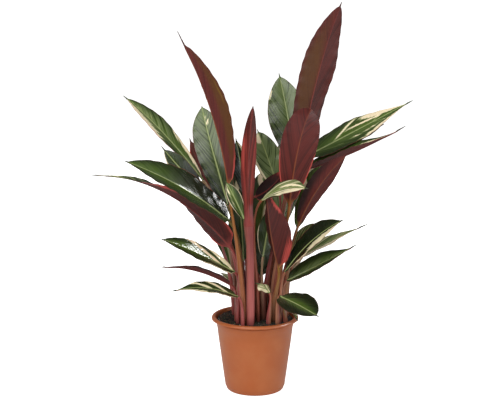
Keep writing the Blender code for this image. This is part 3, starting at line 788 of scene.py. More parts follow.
LEAVES = (
    # Tall leaves in the middle of the clump.
    Leaf("tall_left", (-22, -44), (-51, -40, 410), (-82, -42, 553), (-144, -50, 704),
         width=72, face=(0.72, 0.68, 0.05), fold=44, stalk=StalkTone.ORANGE, waves=(0.012, 0.01), lean=3.5,
         thread=18, olive=0.15,
         streaks=(Streak(-1, 0.5, 0.42, 0.72, 0.34, Tone.OLIVE),
                  # A thin ochre streak near the margin: partly the blade's own ochre, partly a painted
                  # highlight.
                  Streak(-1, 0.6, 0.1, 0.8, 0.05, Tone.OCHRE, 0.8),
                  Streak(-1, 0.02, 0.28, 1.0, 0.26, Tone.BLUSH, 0.9),
                  Streak(1, 0.15, 0.4, 1.0, 0.1, Tone.BLUSH, 0.8))),
    Leaf("tall_right", (34, 4), (79, -2, 421), (117, 4, 609), (162, -8, 756),
         width=77, face=(-0.5, 0.85, -0.05), fold=16, outline=Outline.FULL, waves=(0.04, 0.008), lean=2.4,
         thread=8,
         streaks=(Streak(1, 0.5, 0.36, 0.45, 0.5, Tone.OLIVE),
                  Streak(1, 0.62, 0.2, 0.8, 0.25, Tone.OCHRE, 0.3),
                  Streak(1, 0.08, 0.2, 0.7, 0.7, Tone.BLUSH, 0.35),
                  Streak(0, 0.05, 0.24, 0.0, 0.1, Tone.BLUSH))),
    Leaf("broad_right", (42, -10), (65, -30, 371), (81, -62, 490), (105, -40, 558),
         width=72, face=(0, 1, -0.2), fold=18, outline=Outline.CUT_OFF, stalk=StalkTone.ORANGE,
         waves=(0.012, 0.012), lean=2.0, thread=1,
         streaks=(Streak(0, 1.0, 0.012, 0.3, 0.9), Streak(-1, 0.15, 0.4, 1.0, 0.08, Tone.BLUSH),
                  Streak(1, 0.15, 0.35, 1.0, 0.09, Tone.BLUSH))),
    Leaf("green_right", (28, 46), (80, 56, 439), (65, 80, 526), (47, 100, 613),
         width=78, face=(-0.15, -1, 0.15), fold=12, pattern=Pattern.FEATHERED, stalk=StalkTone.OLIVE,
         outline=Outline.FULL, waves=(0.02, 0.02), thread=6,
         streaks=(Streak(0, 0.95, 0.26, 0.4, 1.0, Tone.FLUSH), Streak(-1, 0.78, 0.05, 0.97, 0.12),
                  Streak(0, 0.25, 0.3, 0.5, 0.9, Tone.DARK, 0.6))),
    Leaf("green_left", (-24, 16), (-52, 10, 366), (-86, 40, 481), (-104, 70, 551),
         width=66, face=(-0.15, -1, 0.15), fold=12, pattern=Pattern.DARK, stalk=StalkTone.OLIVE,
         outline=Outline.FULL_BASE, waves=(0.015, 0.015), thread=4,
         streaks=(Streak(0, 0.72, 0.42, 0.4, 1.0, Tone.GREY, 0.75),
                  Streak(1, 0.76, 0.09, 0.15, 0.25, strength=0.5),
                  Streak(0, 0.3, 0.3, 0.4, 0.8, Tone.GREY, 0.5),
                  Streak(0, 0.05, 0.3, 0.4, 0.9, Tone.DARK, 0.6),
                  Streak(0, 0.95, 0.2, 0.4, 1.0, Tone.FLUSH))),
    Leaf("young_spear", (-9, -52), (-11, -64, 339), (-13, -68, 457), (-4, -64, 567),
         width=60, face=(0, 1, -0.2), fold=62, outline=Outline.BLUNT, waves=(0.01, 0.01), lean=6.0, thread=3,
         girth=1.15, sheathed=1.0, olive=0.15, stalk=StalkTone.SPEAR,
         streaks=(Streak(1, 0.58, 0.24, 0.7, 0.4, Tone.BLUSH, 0.8),
                  Streak(1, 0.25, 0.25, 0.95, 0.2, Tone.BLUSH, 0.5),
                  Streak(0, 0.45, 0.5, 0.5, 1.0, Tone.BLUSH, 0.62))),
    Leaf("grey_middle", (18, 21), (45, 31, 397), (25, 38, 453), (4, 46, 509),
         width=54, face=(0, -1, 0.2), fold=14, pattern=Pattern.SILVER, outline=Outline.OVAL, blush=0.6,
         waves=(0.015, 0.015),
         streaks=(Streak(-1, 0.3, 0.45, 1.0, 0.2),
                  Streak(-1, 0.84, 0.12, 0.4, 0.4, strength=0.9, lean=0.1))),
    # Left side, from the top down.
    Leaf("left_high", (-35, 18), (-101, 26, 412), (-182, 36, 507), (-255, 46, 574),
         width=46, face=(0.5, -0.6, 0.65), fold=22, pattern=Pattern.FLUSHED, outline=Outline.OBLONG,
         waves=(0.02, 0.02), thread=9, stalk=StalkTone.PALE, blush=0.5,
         streaks=(Streak(1, 0.08, 0.32, 1.0, 0.42), Streak(-1, 0.8, 0.36, 0.9, 0.5),
                  Streak(0, 0.62, 0.26, 0.0, 0.8, Tone.GREY), Streak(0, 0.7, 0.22, 0.1, 0.5, strength=0.38),
                  Streak(-1, 0.3, 0.5, 1.0, 0.12, Tone.BLUSH))),
    Leaf("left_red_edge", (-30, 32), (-90, 48, 396), (-112, 64, 441), (-129, 84, 486),
         width=34, face=(0.3, 0.9, 0.1), fold=25, olive=0.5,
         streaks=(Streak(1, 0.5, 0.7, 0.9, 0.3, Tone.BLUSH),)),
    Leaf("left_small", (-24, 2), (-104, -6, 398), (-144, -12, 442), (-178, -20, 485),
         width=40, face=(0.25, -0.9, 0.4), fold=15, outline=Outline.FULL_BASE, thread=8,
         streaks=(Streak(-1, 0.6, 0.5, 1.0, 0.16), Streak(0, 0.1, 0.4, 0.4, 0.9, Tone.DARK))),
    Leaf("left_glossy", (-26, -23), (-50, -33, 343), (-135, -74, 414), (-240, -115, 472),
         width=78, face=(0.4, -0.5, 0.75), fold=22, outline=Outline.FULL_BASE, waves=(0.02, 0.015),
         stalk=StalkTone.OLIVE,
         streaks=(Streak(-1, 0.5, 0.7, 0.3, 0.7, Tone.FLUSH, 0.9),
                  Streak(1, 0.95, 0.35, 0.4, 0.9, Tone.FLUSH),
                  Streak(1, 0.15, 0.42, 0.6, 0.8, Tone.DARK, 0.9))),
    Leaf("left_droop", (-31, -9), (-46, -14, 284), (-172, 0, 391), (-320, 24, 422),
         width=76, face=(0.25, 0.95, 0.3), fold=20, twist=-100, outline=Outline.TAPERED, waves=(0.02, 0.02),
         blush=0.3, thread=10,
         streaks=(Streak(0, 0.85, 0.22, 0.5, 0.8, strength=0.42),
                  Streak(-1, 0.52, 0.2, 0.8, 0.3, Tone.BLUSH), Streak(0, 0.04, 0.12, 1.0, 0.22, Tone.BLUSH),
                  Streak(0, 0.25, 0.3, 0.3, 0.5, Tone.DARK, 0.4))),
    Leaf("left_pink", (-33, -34), (-40, -38, 244), (-108, -84, 292), (-174, -130, 329),
         width=48, face=(0.35, -0.5, 0.8), fold=17, outline=Outline.FULL_BASE, waves=(0.015, 0.015),
         blush=0.9,
         streaks=(Streak(1, 0.2, 0.07, 0.6, 0.7, lean=0.42), Streak(1, -0.12, 0.14, 0.6, 0.7, lean=0.36),
                  Streak(1, 0.65, 0.4, 0.2, 0.4, Tone.FLUSH), Streak(-1, 0.75, 0.3, 0.3, 0.5, Tone.FLUSH),
                  Streak(-1, 0.2, 0.3, 0.97, 0.1))),
    Leaf("left_thin", (-36, -21), (-45, -24, 213), (-110, -20, 241), (-182, -14, 248),
         width=42, face=(0.25, 0.45, 0.85), fold=20, outline=Outline.BROAD_BASE, waves=(0.02, 0.02),
         streaks=(Streak(-1, 0.4, 0.5, 1.0, 0.3, Tone.DARK),)),
    Leaf("left_low", (-24, -58), (-33, -62, 201), (-92, -100, 228), (-154, -135.7, 231),
         width=40, face=(0.1, -0.4, 0.9), fold=16, outline=Outline.BROAD_BASE, waves=(0.025, 0.02),
         blush=0.6, cream=0.12,
         streaks=(Streak(1, 0.16, 0.05, 0.5, 0.6, lean=0.3), Streak(1, 0.42, 0.05, 0.5, 0.6, lean=0.28),
                  Streak(-1, 0.75, 0.25, 0.9, 0.3), Streak(-1, 0.3, 0.3, 1.0, 0.12))),
    # Middle of the clump, low.
    Leaf("middle_striped", (-5, -34), (-21, -47, 349), (-39, -53, 391), (-57, -59, 426),
         width=28, face=(0.15, -0.95, 0.25), fold=20, pattern=Pattern.FLUSHED, lean=3.0, cream=0.3,
         stalk=StalkTone.OLIVE,
         streaks=(Streak(0, 0.5, 0.6, 1.0, 0.09), Streak(-1, 0.6, 0.4, 0.5, 0.2, strength=0.6))),
    Leaf("middle_cream", (-12, -8), (-19, -8, 387), (-27, -4, 444), (-37, 0, 498),
         width=36, face=(0, -1, 0.2), fold=20,
         streaks=(Streak(1, 0.7, 0.5, 0.9, 0.4), Streak(0, 0.3, 0.5, 0.4, 0.6, Tone.DARK))),
    Leaf("front_striped", (6, -24), (13, -42, 385), (54, -84, 415), (97, -120, 421),
         width=38, face=(-0.15, -0.65, 0.75), fold=14, pattern=Pattern.STREAKED, lean=4.0,
         stalk=StalkTone.ORANGE, cream=0.42, blush=0.4,
         streaks=(Streak(1, 0.75, 0.4, 0.75, 0.3), Streak(1, 0.6, 0.5, 0.35, 0.1, strength=0.9),
                  Streak(-1, 0.7, 0.35, 0.3, 0.15, strength=0.9),
                  Streak(-1, 0.3, 0.5, 0.6, 0.9, Tone.FLUSH))),
    Leaf("front_dark", (32, -26), (45, -36, 251), (29, -52, 329), (22, -40, 402),
         width=82, face=(0.65, 0.75, -0.05), fold=42, outline=Outline.HEART, stalk=StalkTone.OCHRE,
         waves=(0.012, 0.012), thread=3,
         streaks=(Streak(-1, 0.04, 0.36, 0.95, 0.55, Tone.BLUSH),
                  Streak(-1, 0.82, 0.14, 0.9, 0.35, Tone.BLUSH),
                  Streak(0, 0.6, 0.4, 0.3, 0.7, Tone.DARK, 0.4))),
    Leaf("front_curled", (26, -42), (27, -46, 205), (15, -56, 221), (0, -66, 229),
         width=26, face=(-0.35, -0.9, -0.3), fold=25, pattern=Pattern.STREAKED, cream=0.5, lean=2.5,
         waves=(0.06, 0.06)),
    Leaf("middle_glossy", (16, -8), (15, -10, 267), (23, -4, 315), (31, 0, 368),
         width=38, face=(0, -1, 0.2), fold=15, stalk=StalkTone.PALE,
         streaks=(Streak(-1, 0.3, 0.3, 1.0, 0.12),)),
    Leaf("middle_purple", (8, 10), (0, 22, 380), (30, 22, 398), (62, 14, 438),
         width=38, face=(0, 1, -0.2), fold=15, outline=Outline.OVAL,
         streaks=(Streak(0, 0.95, 0.2, 0.5, 1.0, Tone.BLUSH), Streak(-1, 0.2, 0.3, 1.0, 0.12),
                  Streak(0, 0.35, 0.4, 0.3, 1.2, Tone.DARK), Streak(-1, 0.2, 0.35, 1.0, 0.2, Tone.BLUSH))),
    Leaf("middle_dark", (2, 26), (12, 42, 215), (20, 52, 275), (26, 62, 345),
         width=44, face=(0, -1, 0.2), fold=15),
    Leaf("inner_left", (-17, 26), (-23, 27, 250), (-26, 30, 315), (-31, 34, 372),
         width=54, face=(0, -1, 0.2), fold=15, stalk=StalkTone.PURPLE),
    # Right side, from the top down.
    Leaf("right_high", (46, 22), (106, 21, 463), (201, 34, 511), (306, 54, 564),
         width=58, face=(-0.3, -0.65, 0.7), fold=12, pattern=Pattern.FLUSHED, outline=Outline.LANCE,
         lean=2.4, waves=(0.02, 0.02), thread=8, blush=0.5, cream=0.2,
         streaks=(Streak(-1, 0.74, 0.2, 0.75, 0.32), Streak(1, 0.7, 0.24, 1.0, 0.25),
                  Streak(-1, 0.5, 0.2, 0.35, 0.08, strength=0.8, lean=0.16),
                  Streak(-1, 0.24, 0.03, 0.5, 0.5, strength=0.75, lean=0.3),
                  Streak(1, 0.45, 0.3, 0.5, 0.05, strength=0.7, lean=0.1))),
    Leaf("right_behind", (42, 33), (111, 42, 453), (187, 74, 484), (257, 108, 511),
         width=34, face=(-0.3, -0.65, 0.7), fold=15, cream=0.15),
    Leaf("right_folded", (48, 10), (102, 6, 437), (195, -3, 474), (286, -8, 522),
         width=57, face=(-0.35, -0.05, 0.95), fold=40, outline=Outline.TAPERED, lean=2.4,
         waves=(0.015, 0.015), thread=12,
         streaks=(Streak(-1, 0.35, 0.3, 0.3, 0.07, strength=0.8),
                  Streak(-1, 0.75, 0.25, 0.5, 0.1, strength=0.8), Streak(-1, 0.5, 0.6, 0.6, 0.8, Tone.FLUSH),
                  Streak(1, 0.85, 0.2, 0.95, 0.15))),
    Leaf("right_dark", (57, -1), (83, -12, 329), (121, -30, 408), (175, -46, 476),
         width=48, face=(-0.3, 0.95, 0), fold=28, stalk=StalkTone.OCHRE, waves=(0.015, 0.015),
         streaks=(Streak(1, 0.35, 0.45, 0.9, 0.5, Tone.DARK),)),
    Leaf("right_green", (48, -26), (58, -32, 243), (105, -72, 311), (163, -115, 362),
         width=60, face=(-0.55, -0.5, 0.7), fold=20, blush=0.8, waves=(0.015, 0.015),
         streaks=(Streak(1, 0.72, 0.22, 0.75, 0.4), Streak(1, 0.4, 0.3, 1.0, 0.15),
                  Streak(0, 0.8, 0.2, 0.1, 0.2, Tone.FLUSH, 0.7), Streak(0, 0.4, 0.6, 0.4, 1.2, Tone.DARK))),
    Leaf("right_striped", (59, 24), (69, 28, 248), (92, 24, 297), (124, 18, 330),
         width=34, face=(-0.65, -0.55, 0.55), fold=25, pattern=Pattern.STREAKED, lean=3.0, cream=0.42,
         blush=0.8, stalk=StalkTone.OCHRE),
    Leaf("right_narrow", (62, 11), (88, 16, 261), (151, 22, 294), (222, 32, 324),
         width=38, face=(-0.4, -0.3, 0.85), fold=18, pattern=Pattern.STREAKED, lean=3.0, cream=0.4,
         blush=1.0, outline=Outline.TAPERED, thread=12,
         streaks=(Streak(1, 0.3, 0.5, 0.8, 0.5),)),
    Leaf("right_low", (58, -14), (62, -19, 222), (128, -40, 262), (192, -66, 304),
         width=52, face=(-0.4, -0.45, 0.8), fold=26, outline=Outline.BROAD_BASE, waves=(0.01, 0.01),
         thread=9,
         streaks=(Streak(0, 0.6, 0.5, 0.1, 0.6, Tone.FLUSH), Streak(0, 0.45, 0.5, 0.0, 0.4, Tone.GREY),
                  Streak(1, 0.4, 0.6, 1.0, 0.16, Tone.BLUSH))),
    Leaf("right_oval", (44, -42), (48, -44, 197), (82, -84, 191), (119, -122, 178),
         width=67, face=(0.25, -0.65, 0.7), fold=14, outline=Outline.OVAL, waves=(0.008, 0.008),
         streaks=(Streak(0, 0.5, 0.6, 0.0, 0.3, Tone.FLUSH, 0.8),
                  Streak(0, 0.5, 0.5, 0.8, 0.4, Tone.DARK, 0.7))),
    Leaf("right_dried", (59, -30), (56, -42, 172), (70, -62, 169), (82, -76, 157),
         width=20, face=(0.45, -0.5, 0.7), fold=45, pattern=Pattern.STREAKED, cream=0.5, lean=2.5,
         stalk=StalkTone.OLIVE),
    # Back of the clump.
    Leaf("back_left_tall", (-12, 42), (-22, 66, 280), (-44, 128, 390), (-72, 196, 460),
         width=70, face=(0.2, -0.75, 0.55), fold=18, olive=0.4,
         streaks=(Streak(1, 0.4, 0.06, 0.5, 0.6, lean=0.3), Streak(-1, 0.6, 0.3, 0.95, 0.2),
                  Streak(1, 0.1, 0.3, 1.0, 0.15, Tone.BLUSH))),
    Leaf("back_right_tall", (20, 60), (46, 94, 290), (74, 146, 420), (95, 205, 510),
         width=76, face=(-0.1, -0.8, 0.5), fold=18, pattern=Pattern.FEATHERED, olive=0.5,
         streaks=(Streak(-1, 0.15, 0.4, 1.0, 0.12, Tone.BLUSH),)),
    Leaf("back_middle", (6, 62), (10, 100, 262), (22, 172, 355), (42, 243, 412),
         width=64, face=(-0.1, -0.55, 0.75), fold=18, pattern=Pattern.FLUSHED, blush=0.5,
         streaks=(Streak(1, 0.3, 0.07, 0.5, 0.7, lean=0.3), Streak(-1, 0.5, 0.06, 0.5, 0.7, lean=0.3),
                  Streak(1, 0.8, 0.2, 0.9, 0.3))),
    Leaf("back_left", (-40, 28), (-72, 75, 290), (-105, 140, 360), (-130, 195, 385),
         width=60, face=(0.4, -0.5, 0.8), fold=20, pattern=Pattern.STREAKED, cream=0.45, lean=2.2,
         streaks=(Streak(1, 0.45, 0.4, 0.9, 0.2),)),
    Leaf("back_right", (50, 43), (84, 92, 300), (115, 145, 375), (138, 190, 420),
         width=60, face=(-0.4, -0.5, 0.8), fold=20, pattern=Pattern.FLUSHED,
         streaks=(Streak(-1, 0.35, 0.07, 0.6, 0.7, lean=0.35), Streak(-1, 0.7, 0.25, 0.9, 0.2))),
    Leaf("back_left_low", (-32, 46), (-45, 86, 215), (-60, 136, 270), (-70, 185, 285),
         width=50, face=(0.2, -0.4, 0.9), fold=20, pattern=Pattern.FLUSHED, cream=0.2,
         stalk=StalkTone.OCHRE),
    Leaf("back_right_low", (33, 56), (70, 100, 205), (92, 145, 245), (104, 190, 250),
         width=50, face=(-0.3, -0.4, 0.9), fold=20, pattern=Pattern.STREAKED, cream=0.45, blush=0.8,
         lean=2.2,
         streaks=(Streak(1, 0.3, 0.4, 0.9, 0.3),)),
    Leaf("back_middle_low", (-8, 62), (-5, 108, 215), (0, 170, 265), (5, 225, 268),
         width=54, face=(0, -0.4, 0.9), fold=20, stalk=StalkTone.OCHRE,
         streaks=(Streak(-1, 0.5, 0.5, 1.0, 0.2),)),
    Leaf("back_small", (-22, 58), (-35, 95, 170), (-48, 132, 195), (-60, 172, 180),
         width=44, face=(0.1, -0.3, 0.9), fold=20, pattern=Pattern.STREAKED, cream=0.42),
)


@dataclass(frozen=True)
class Section:
    """One cross-section of a leaf: its place, its side and upper directions, how far along it is, its size.

    Attributes:
        place: Its middle.
        side: The direction across it.
        up: The direction of the upper side.
        along: From -1 at the soil to 0 at the collar and 1 at the tip.
        run: How far it is along the leaf from the collar, negative on the stalk.
        size: The half-width and half-depth of the stalk there.
    """

    place: Vector
    side: Vector
    up: Vector
    along: float
    run: float
    size: tuple[float, float]


@dataclass(frozen=True)
class Grid:
    """A leaf's sections as arrays: one row for each section, with room for the columns round the leaf."""

    place: np.ndarray
    side: np.ndarray
    up: np.ndarray
    along: np.ndarray
    run: np.ndarray
    size: np.ndarray

    @classmethod
    def stack(cls, sections: list[Section]) -> "Grid":
        """Stacks sections into a grid."""
        return cls(**{field.name: np.array([getattr(section, field.name) for section in sections])[:, None]
                      for field in fields(Section)})


def across(heading: Vector, face: Vector) -> tuple[Vector, Vector]:
    """Gives the side and upper directions of a section across a heading, its upper side towards face."""
    up = (face - heading * face.dot(heading)).normalized()
    return heading.cross(up).normalized(), up


@dataclass
class LeafBuilder:
    """Makes a leaf's mesh from a grid that is wrapped round the whole leaf, and dresses it.

    Attributes:
        upper: Finish of the upper side.
        underside: Finish of the underside.
        stalk: Finish of the stalk.
        half_columns: Grid columns from the midrib to a margin.
    """

    upper: bpy.types.Material
    underside: bpy.types.Material
    stalk: bpy.types.Material
    half_columns: int = HALF_COLUMNS

    def sections(self, leaf: Leaf) -> list[Section]:
        """Gives a leaf's cross-sections, from its foot in the soil to its tip."""
        face = Vector(leaf.face).normalized()
        place, heading = leaf.midrib(0.0)
        side, up = across(heading, face)
        rows = [Section(place, side, up, 0.0, 0.0, leaf.stalk_size(1.0))]
        run = 0.0
        for step in range(STALK_STEPS - 1, -1, -1):
            share = step / STALK_STEPS
            before = place
            place, heading = leaf.stem(share)
            side, up = across(heading, up)
            run -= (before - place).length
            rows.append(Section(place, side, up, share - 1, run, leaf.stalk_size(share)))
        side, up = across(Vector((0, 0, 1)), up)
        foot = Vector((*leaf.root, SOIL_TOP - STALK_DEPTH))
        rows.append(Section(foot, side, up, -1.0, run - STALK_DEPTH, leaf.stalk_size(0.0)))
        rows.reverse()
        length = leaf.length()
        count = math.ceil(length / BLADE_STEP)
        for step in range(1, count + 1):
            share = step / count
            place, heading = leaf.midrib(share)
            turn = Quaternion(heading, math.radians(leaf.twist * share))
            side, up = across(heading, turn @ face)
            rows.append(Section(place, side, up, share, share * length, leaf.stalk_size(1.0)))
        return rows

    def columns(self) -> np.ndarray:
        """Gives the columns across a blade from -1 to 1, closest together at the midrib and the margins."""
        even = np.linspace(0, 1, self.half_columns + 1)
        at_margin = np.sin(even * math.pi / 2) ** CROWDING_POWER
        half = CROWDING * even**CROWDING_POWER + (1 - CROWDING) * at_margin
        return np.concatenate([-half[:0:-1], half])

    def build(self, leaf: Leaf, number: int) -> bpy.types.Object:
        """Makes one leaf.

        Args:
            leaf: The leaf.
            number: Its number, which sets its waves and its random streaks.

        Returns:
            The finished piece.
        """
        rows = self.sections(leaf)
        points, marks = self.surface(leaf, Grid.stack(rows), number)
        ring = points.shape[1]
        deselect()
        bpy.ops.mesh.primitive_grid_add(x_subdivisions=ring, y_subdivisions=len(rows) - 1, size=1.0)
        piece = bpy.context.object
        mesh = piece.data
        flat = np.zeros(len(mesh.vertices) * 3, np.float32)
        mesh.vertices.foreach_get("co", flat)
        flat = flat.reshape(-1, 3)
        column = np.rint((flat[:, 0] + 0.5) * ring).astype(int) % ring
        row = np.rint((flat[:, 1] + 0.5) * (len(rows) - 1)).astype(int)
        centres = np.zeros(len(mesh.polygons) * 3, np.float32)
        mesh.polygons.foreach_get("center", centres)
        centres = centres.reshape(-1, 3)
        face_column = ((centres[:, 0] + 0.5) * ring).astype(int)
        face_row = ((centres[:, 1] + 0.5) * (len(rows) - 1)).astype(int)
        on_stalk = np.array([section.along < 0 for section in rows])[face_row]
        index = np.where(on_stalk, 2, np.where(face_column < ring // 2 - 1, 0, 1))
        mesh.vertices.foreach_set("co", (points[row, column] * MM).astype(np.float32).ravel())
        for finish in (self.upper, self.underside, self.stalk):
            mesh.materials.append(finish)
        mesh.polygons.foreach_set("material_index", index.astype(np.int32))
        for name, values in marks.items():
            kind = "FLOAT_COLOR" if values.ndim == 3 else "FLOAT"
            attribute = mesh.attributes.new(name, kind, "POINT")
            stored = "color" if kind == "FLOAT_COLOR" else "value"
            attribute.data.foreach_set(stored, values[row, column].astype(np.float32).ravel())
        mesh.update()
        edit_whole(piece)
        bpy.ops.mesh.remove_doubles(threshold=WELD_DISTANCE)
        bpy.ops.mesh.select_all(action="DESELECT")
        bpy.ops.mesh.select_non_manifold()
        bpy.ops.mesh.fill_holes(sides=0)
        bpy.ops.mesh.select_all(action="SELECT")
        bpy.ops.mesh.normals_make_consistent(inside=False)
        bpy.ops.object.mode_set(mode="OBJECT")
        finish_piece(piece, leaf.name, f"leaf_{leaf.name}")
        return piece

    def blade(self, leaf: Leaf, grid: Grid, number: int) -> tuple[np.ndarray, np.ndarray, np.ndarray]:
        """Works out the blade's skin.

        Args:
            leaf: The leaf.
            grid: Its sections.
            number: Its number.

        Returns:
            The skin's points, round the leaf from the upper side to the underside, and for each column of
            the upper side its distance from the midrib and its place along the side veins.
        """
        columns = self.columns()[None, :]
        reach = np.abs(columns)
        sign = np.where(columns < 0, -1.0, 1.0)
        phase = number * PHASE_STEP
        share = np.clip(grid.along, 0, 1)
        width = leaf.width * leaf.fullness(share)
        half = np.maximum(width / 2, TIP_RADIUS)
        offset = half * columns
        vein = grid.run - (leaf.lean + VEIN_CURVE * reach) * np.abs(offset)
        vein = vein / math.hypot(1, leaf.lean)
        fold = math.radians(leaf.fold)
        lift = half * (reach * math.sin(fold) - MARGIN_RECURVE * reach**2)
        wave = np.sin(math.tau * WAVES * share + phase + WAVE_OFFSET * sign)
        lift = lift + np.where(columns < 0, *leaf.waves) * width * reach**1.5 * wave
        ruffle = np.sin(math.tau * grid.run / RUFFLE_LENGTH + RUFFLE_PHASE * phase + RUFFLE_OFFSET * sign)
        lift = lift + RUFFLE_SHARE * width * reach**3 * ruffle
        inside = smooth(*QUILT_INNER, reach) * (1 - smooth(*QUILT_OUTER, reach))
        quilt = np.sin(math.tau * vein / QUILT_SPACING + sign)
        lift = lift + QUILT_HEIGHT * quilt * leaf.fullness(share) * inside
        rib = np.exp(-((offset / RIB_SPREAD) ** 2)) * (1 - share)
        lift = lift - GROOVE_DEPTH * rib * smooth(*GROOVE_SPAN, share)
        upper = grid.place + grid.side * (offset * math.cos(fold))[..., None] + grid.up * lift[..., None]
        slope = math.sin(fold) * (1 - rib)
        normal = grid.up * np.sqrt(1 - slope**2)[..., None] - grid.side * (sign * slope)[..., None]
        keel = TIP_KEEL * smooth(*KEEL_SPAN, share) * (1 - reach)
        lower = upper - normal * (BLADE_SKIN * (1 - SKIN_TAPER * reach) + BLADE_RIB * rib + keel)[..., None]
        return np.concatenate([upper, lower[:, ::-1]], axis=1), offset, vein

    def surface(self, leaf: Leaf, grid: Grid, number: int) -> tuple[np.ndarray, dict[str, np.ndarray]]:
        """Works out where a leaf's grid points lie and what each is marked with.

        Args:
            leaf: The leaf.
            grid: Its sections.
            number: Its number.

        Returns:
            The points, as rows by ring by xyz, and the marks by name, as rows by ring.
        """
        skin, offset, vein = self.blade(leaf, grid, number)
        angle = math.pi - math.tau * (np.arange(skin.shape[1]) + 0.5) / skin.shape[1]
        sideways = grid.side * np.cos(angle)[None, :, None]
        upwards = grid.up * np.sin(angle)[None, :, None]
        stem = grid.place + sideways * grid.size[..., :1] + upwards * grid.size[..., 1:]
        blend = smooth(0.0, BASE_BLEND * leaf.stretch(), grid.along)[..., None]
        points = stem * (1 - blend) + skin * blend
        left = (leaf.length() - grid.run) / leaf.thread
        thread = smooth(-THREAD_FROM, -THREAD_WHOLE, -left)
        radius = TIP_RADIUS * (TIP_BLUNT + TIP_TAPER * np.clip(left / THREAD_FROM, 0, 1))
        drawn_out = grid.place + radius[..., None] * (sideways + upwards)
        points = points * (1 - thread[..., None]) + drawn_out * thread[..., None]

        columns = self.columns()
        wide = np.concatenate([columns, columns[::-1]])[None, :] * np.ones_like(grid.along)
        on_blade = (grid.along > 0) * np.ones_like(wide)
        mirrored = [np.concatenate([values, values[:, ::-1]], axis=1) for values in (vein, offset)]
        marks = {
            "across": wide * on_blade,
            "along": grid.along * np.ones_like(wide),
            "vein": np.where(on_blade > 0, mirrored[0], grid.run),
            "reach": np.where(on_blade > 0, mirrored[1], angle[None, :] * grid.size[..., 0]),
            "seed": np.full_like(wide, SEED_STEP * number),
            "merge": np.full_like(wide, MERGE_SHARE * leaf.stretch()),
        }
        marks["reach"] = marks["reach"] + OFF_RIB * thread * on_blade
        self.mark_tones(leaf, marks, wide, on_blade, number)
        marks["cream"] = marks["cream"] * (1 - thread * on_blade)
        marks["dark"] = np.maximum(marks["dark"], THREAD_DARKNESS * thread * on_blade)
        marks["tone"] = self.stalk_colours(leaf, marks["along"], np.cos(angle), on_blade)
        return points, marks

    def mark_tones(self, leaf: Leaf, marks: dict[str, np.ndarray], wide: np.ndarray, on_blade: np.ndarray,
                   number: int) -> None:
        """Marks each tone's level on the blade: the leaf's usual level, or its strongest patch there."""
        usual = {Tone.CREAM: leaf.cream, Tone.OLIVE: leaf.olive,
                 Tone.GREY: leaf.pattern.value[0], Tone.FLUSH: leaf.pattern.value[1]}
        for tone in Tone:
            level = np.full_like(wide, usual.get(tone, 0.0))
            for streak in leaf.streaks:
                if streak.tone is tone:
                    level = np.maximum(level, streak.level(marks["along"], wide))
            marks[tone.value] = level * on_blade
        pink = np.sin(PINK_RATE * marks["vein"] / leaf.width + number) * 0.5 + 0.5
        marks["blush"] = np.maximum(marks["blush"], PINK_SHARE * leaf.blush * smooth(*PINK_SPAN, pink))

    def stalk_colours(self, leaf: Leaf, along: np.ndarray, turn: np.ndarray,
                      on_blade: np.ndarray) -> np.ndarray:
        """Works out a stalk's colours, which are darker near the soil, from soil on them and from painted
        shade of the clump.

        Args:
            leaf: The leaf.
            along: The place of each point, from -1 at the soil.
            turn: How far each column is turned to the flank that has its own colour, from -1 to 1.
            on_blade: 1 on the blade and 0 on the stalk.

        Returns:
            A linear colour for each point.
        """
        low, high, flank = (np.array(linear(colour)) for colour in leaf.stalk.value)
        shade = smooth(*SHADE_SPAN, along)[..., None]
        flank_share = FLANK_SHARE * smooth(*FLANK_SPAN, turn)[None, :, None] * (1 - on_blade[..., None])
        # Darker near the soil: soil on the stalk, and painted shade from the clump around it.
        stain_and_shade = 1 - STAIN_AND_SHADE_DEPTH * (1 - smooth(-1.0, SOIL_STAIN_AND_SHADE - 1, along))[..., None]
        return ((low * (1 - shade) + high * shade) * (1 - flank_share) + flank * flank_share) * stain_and_shade


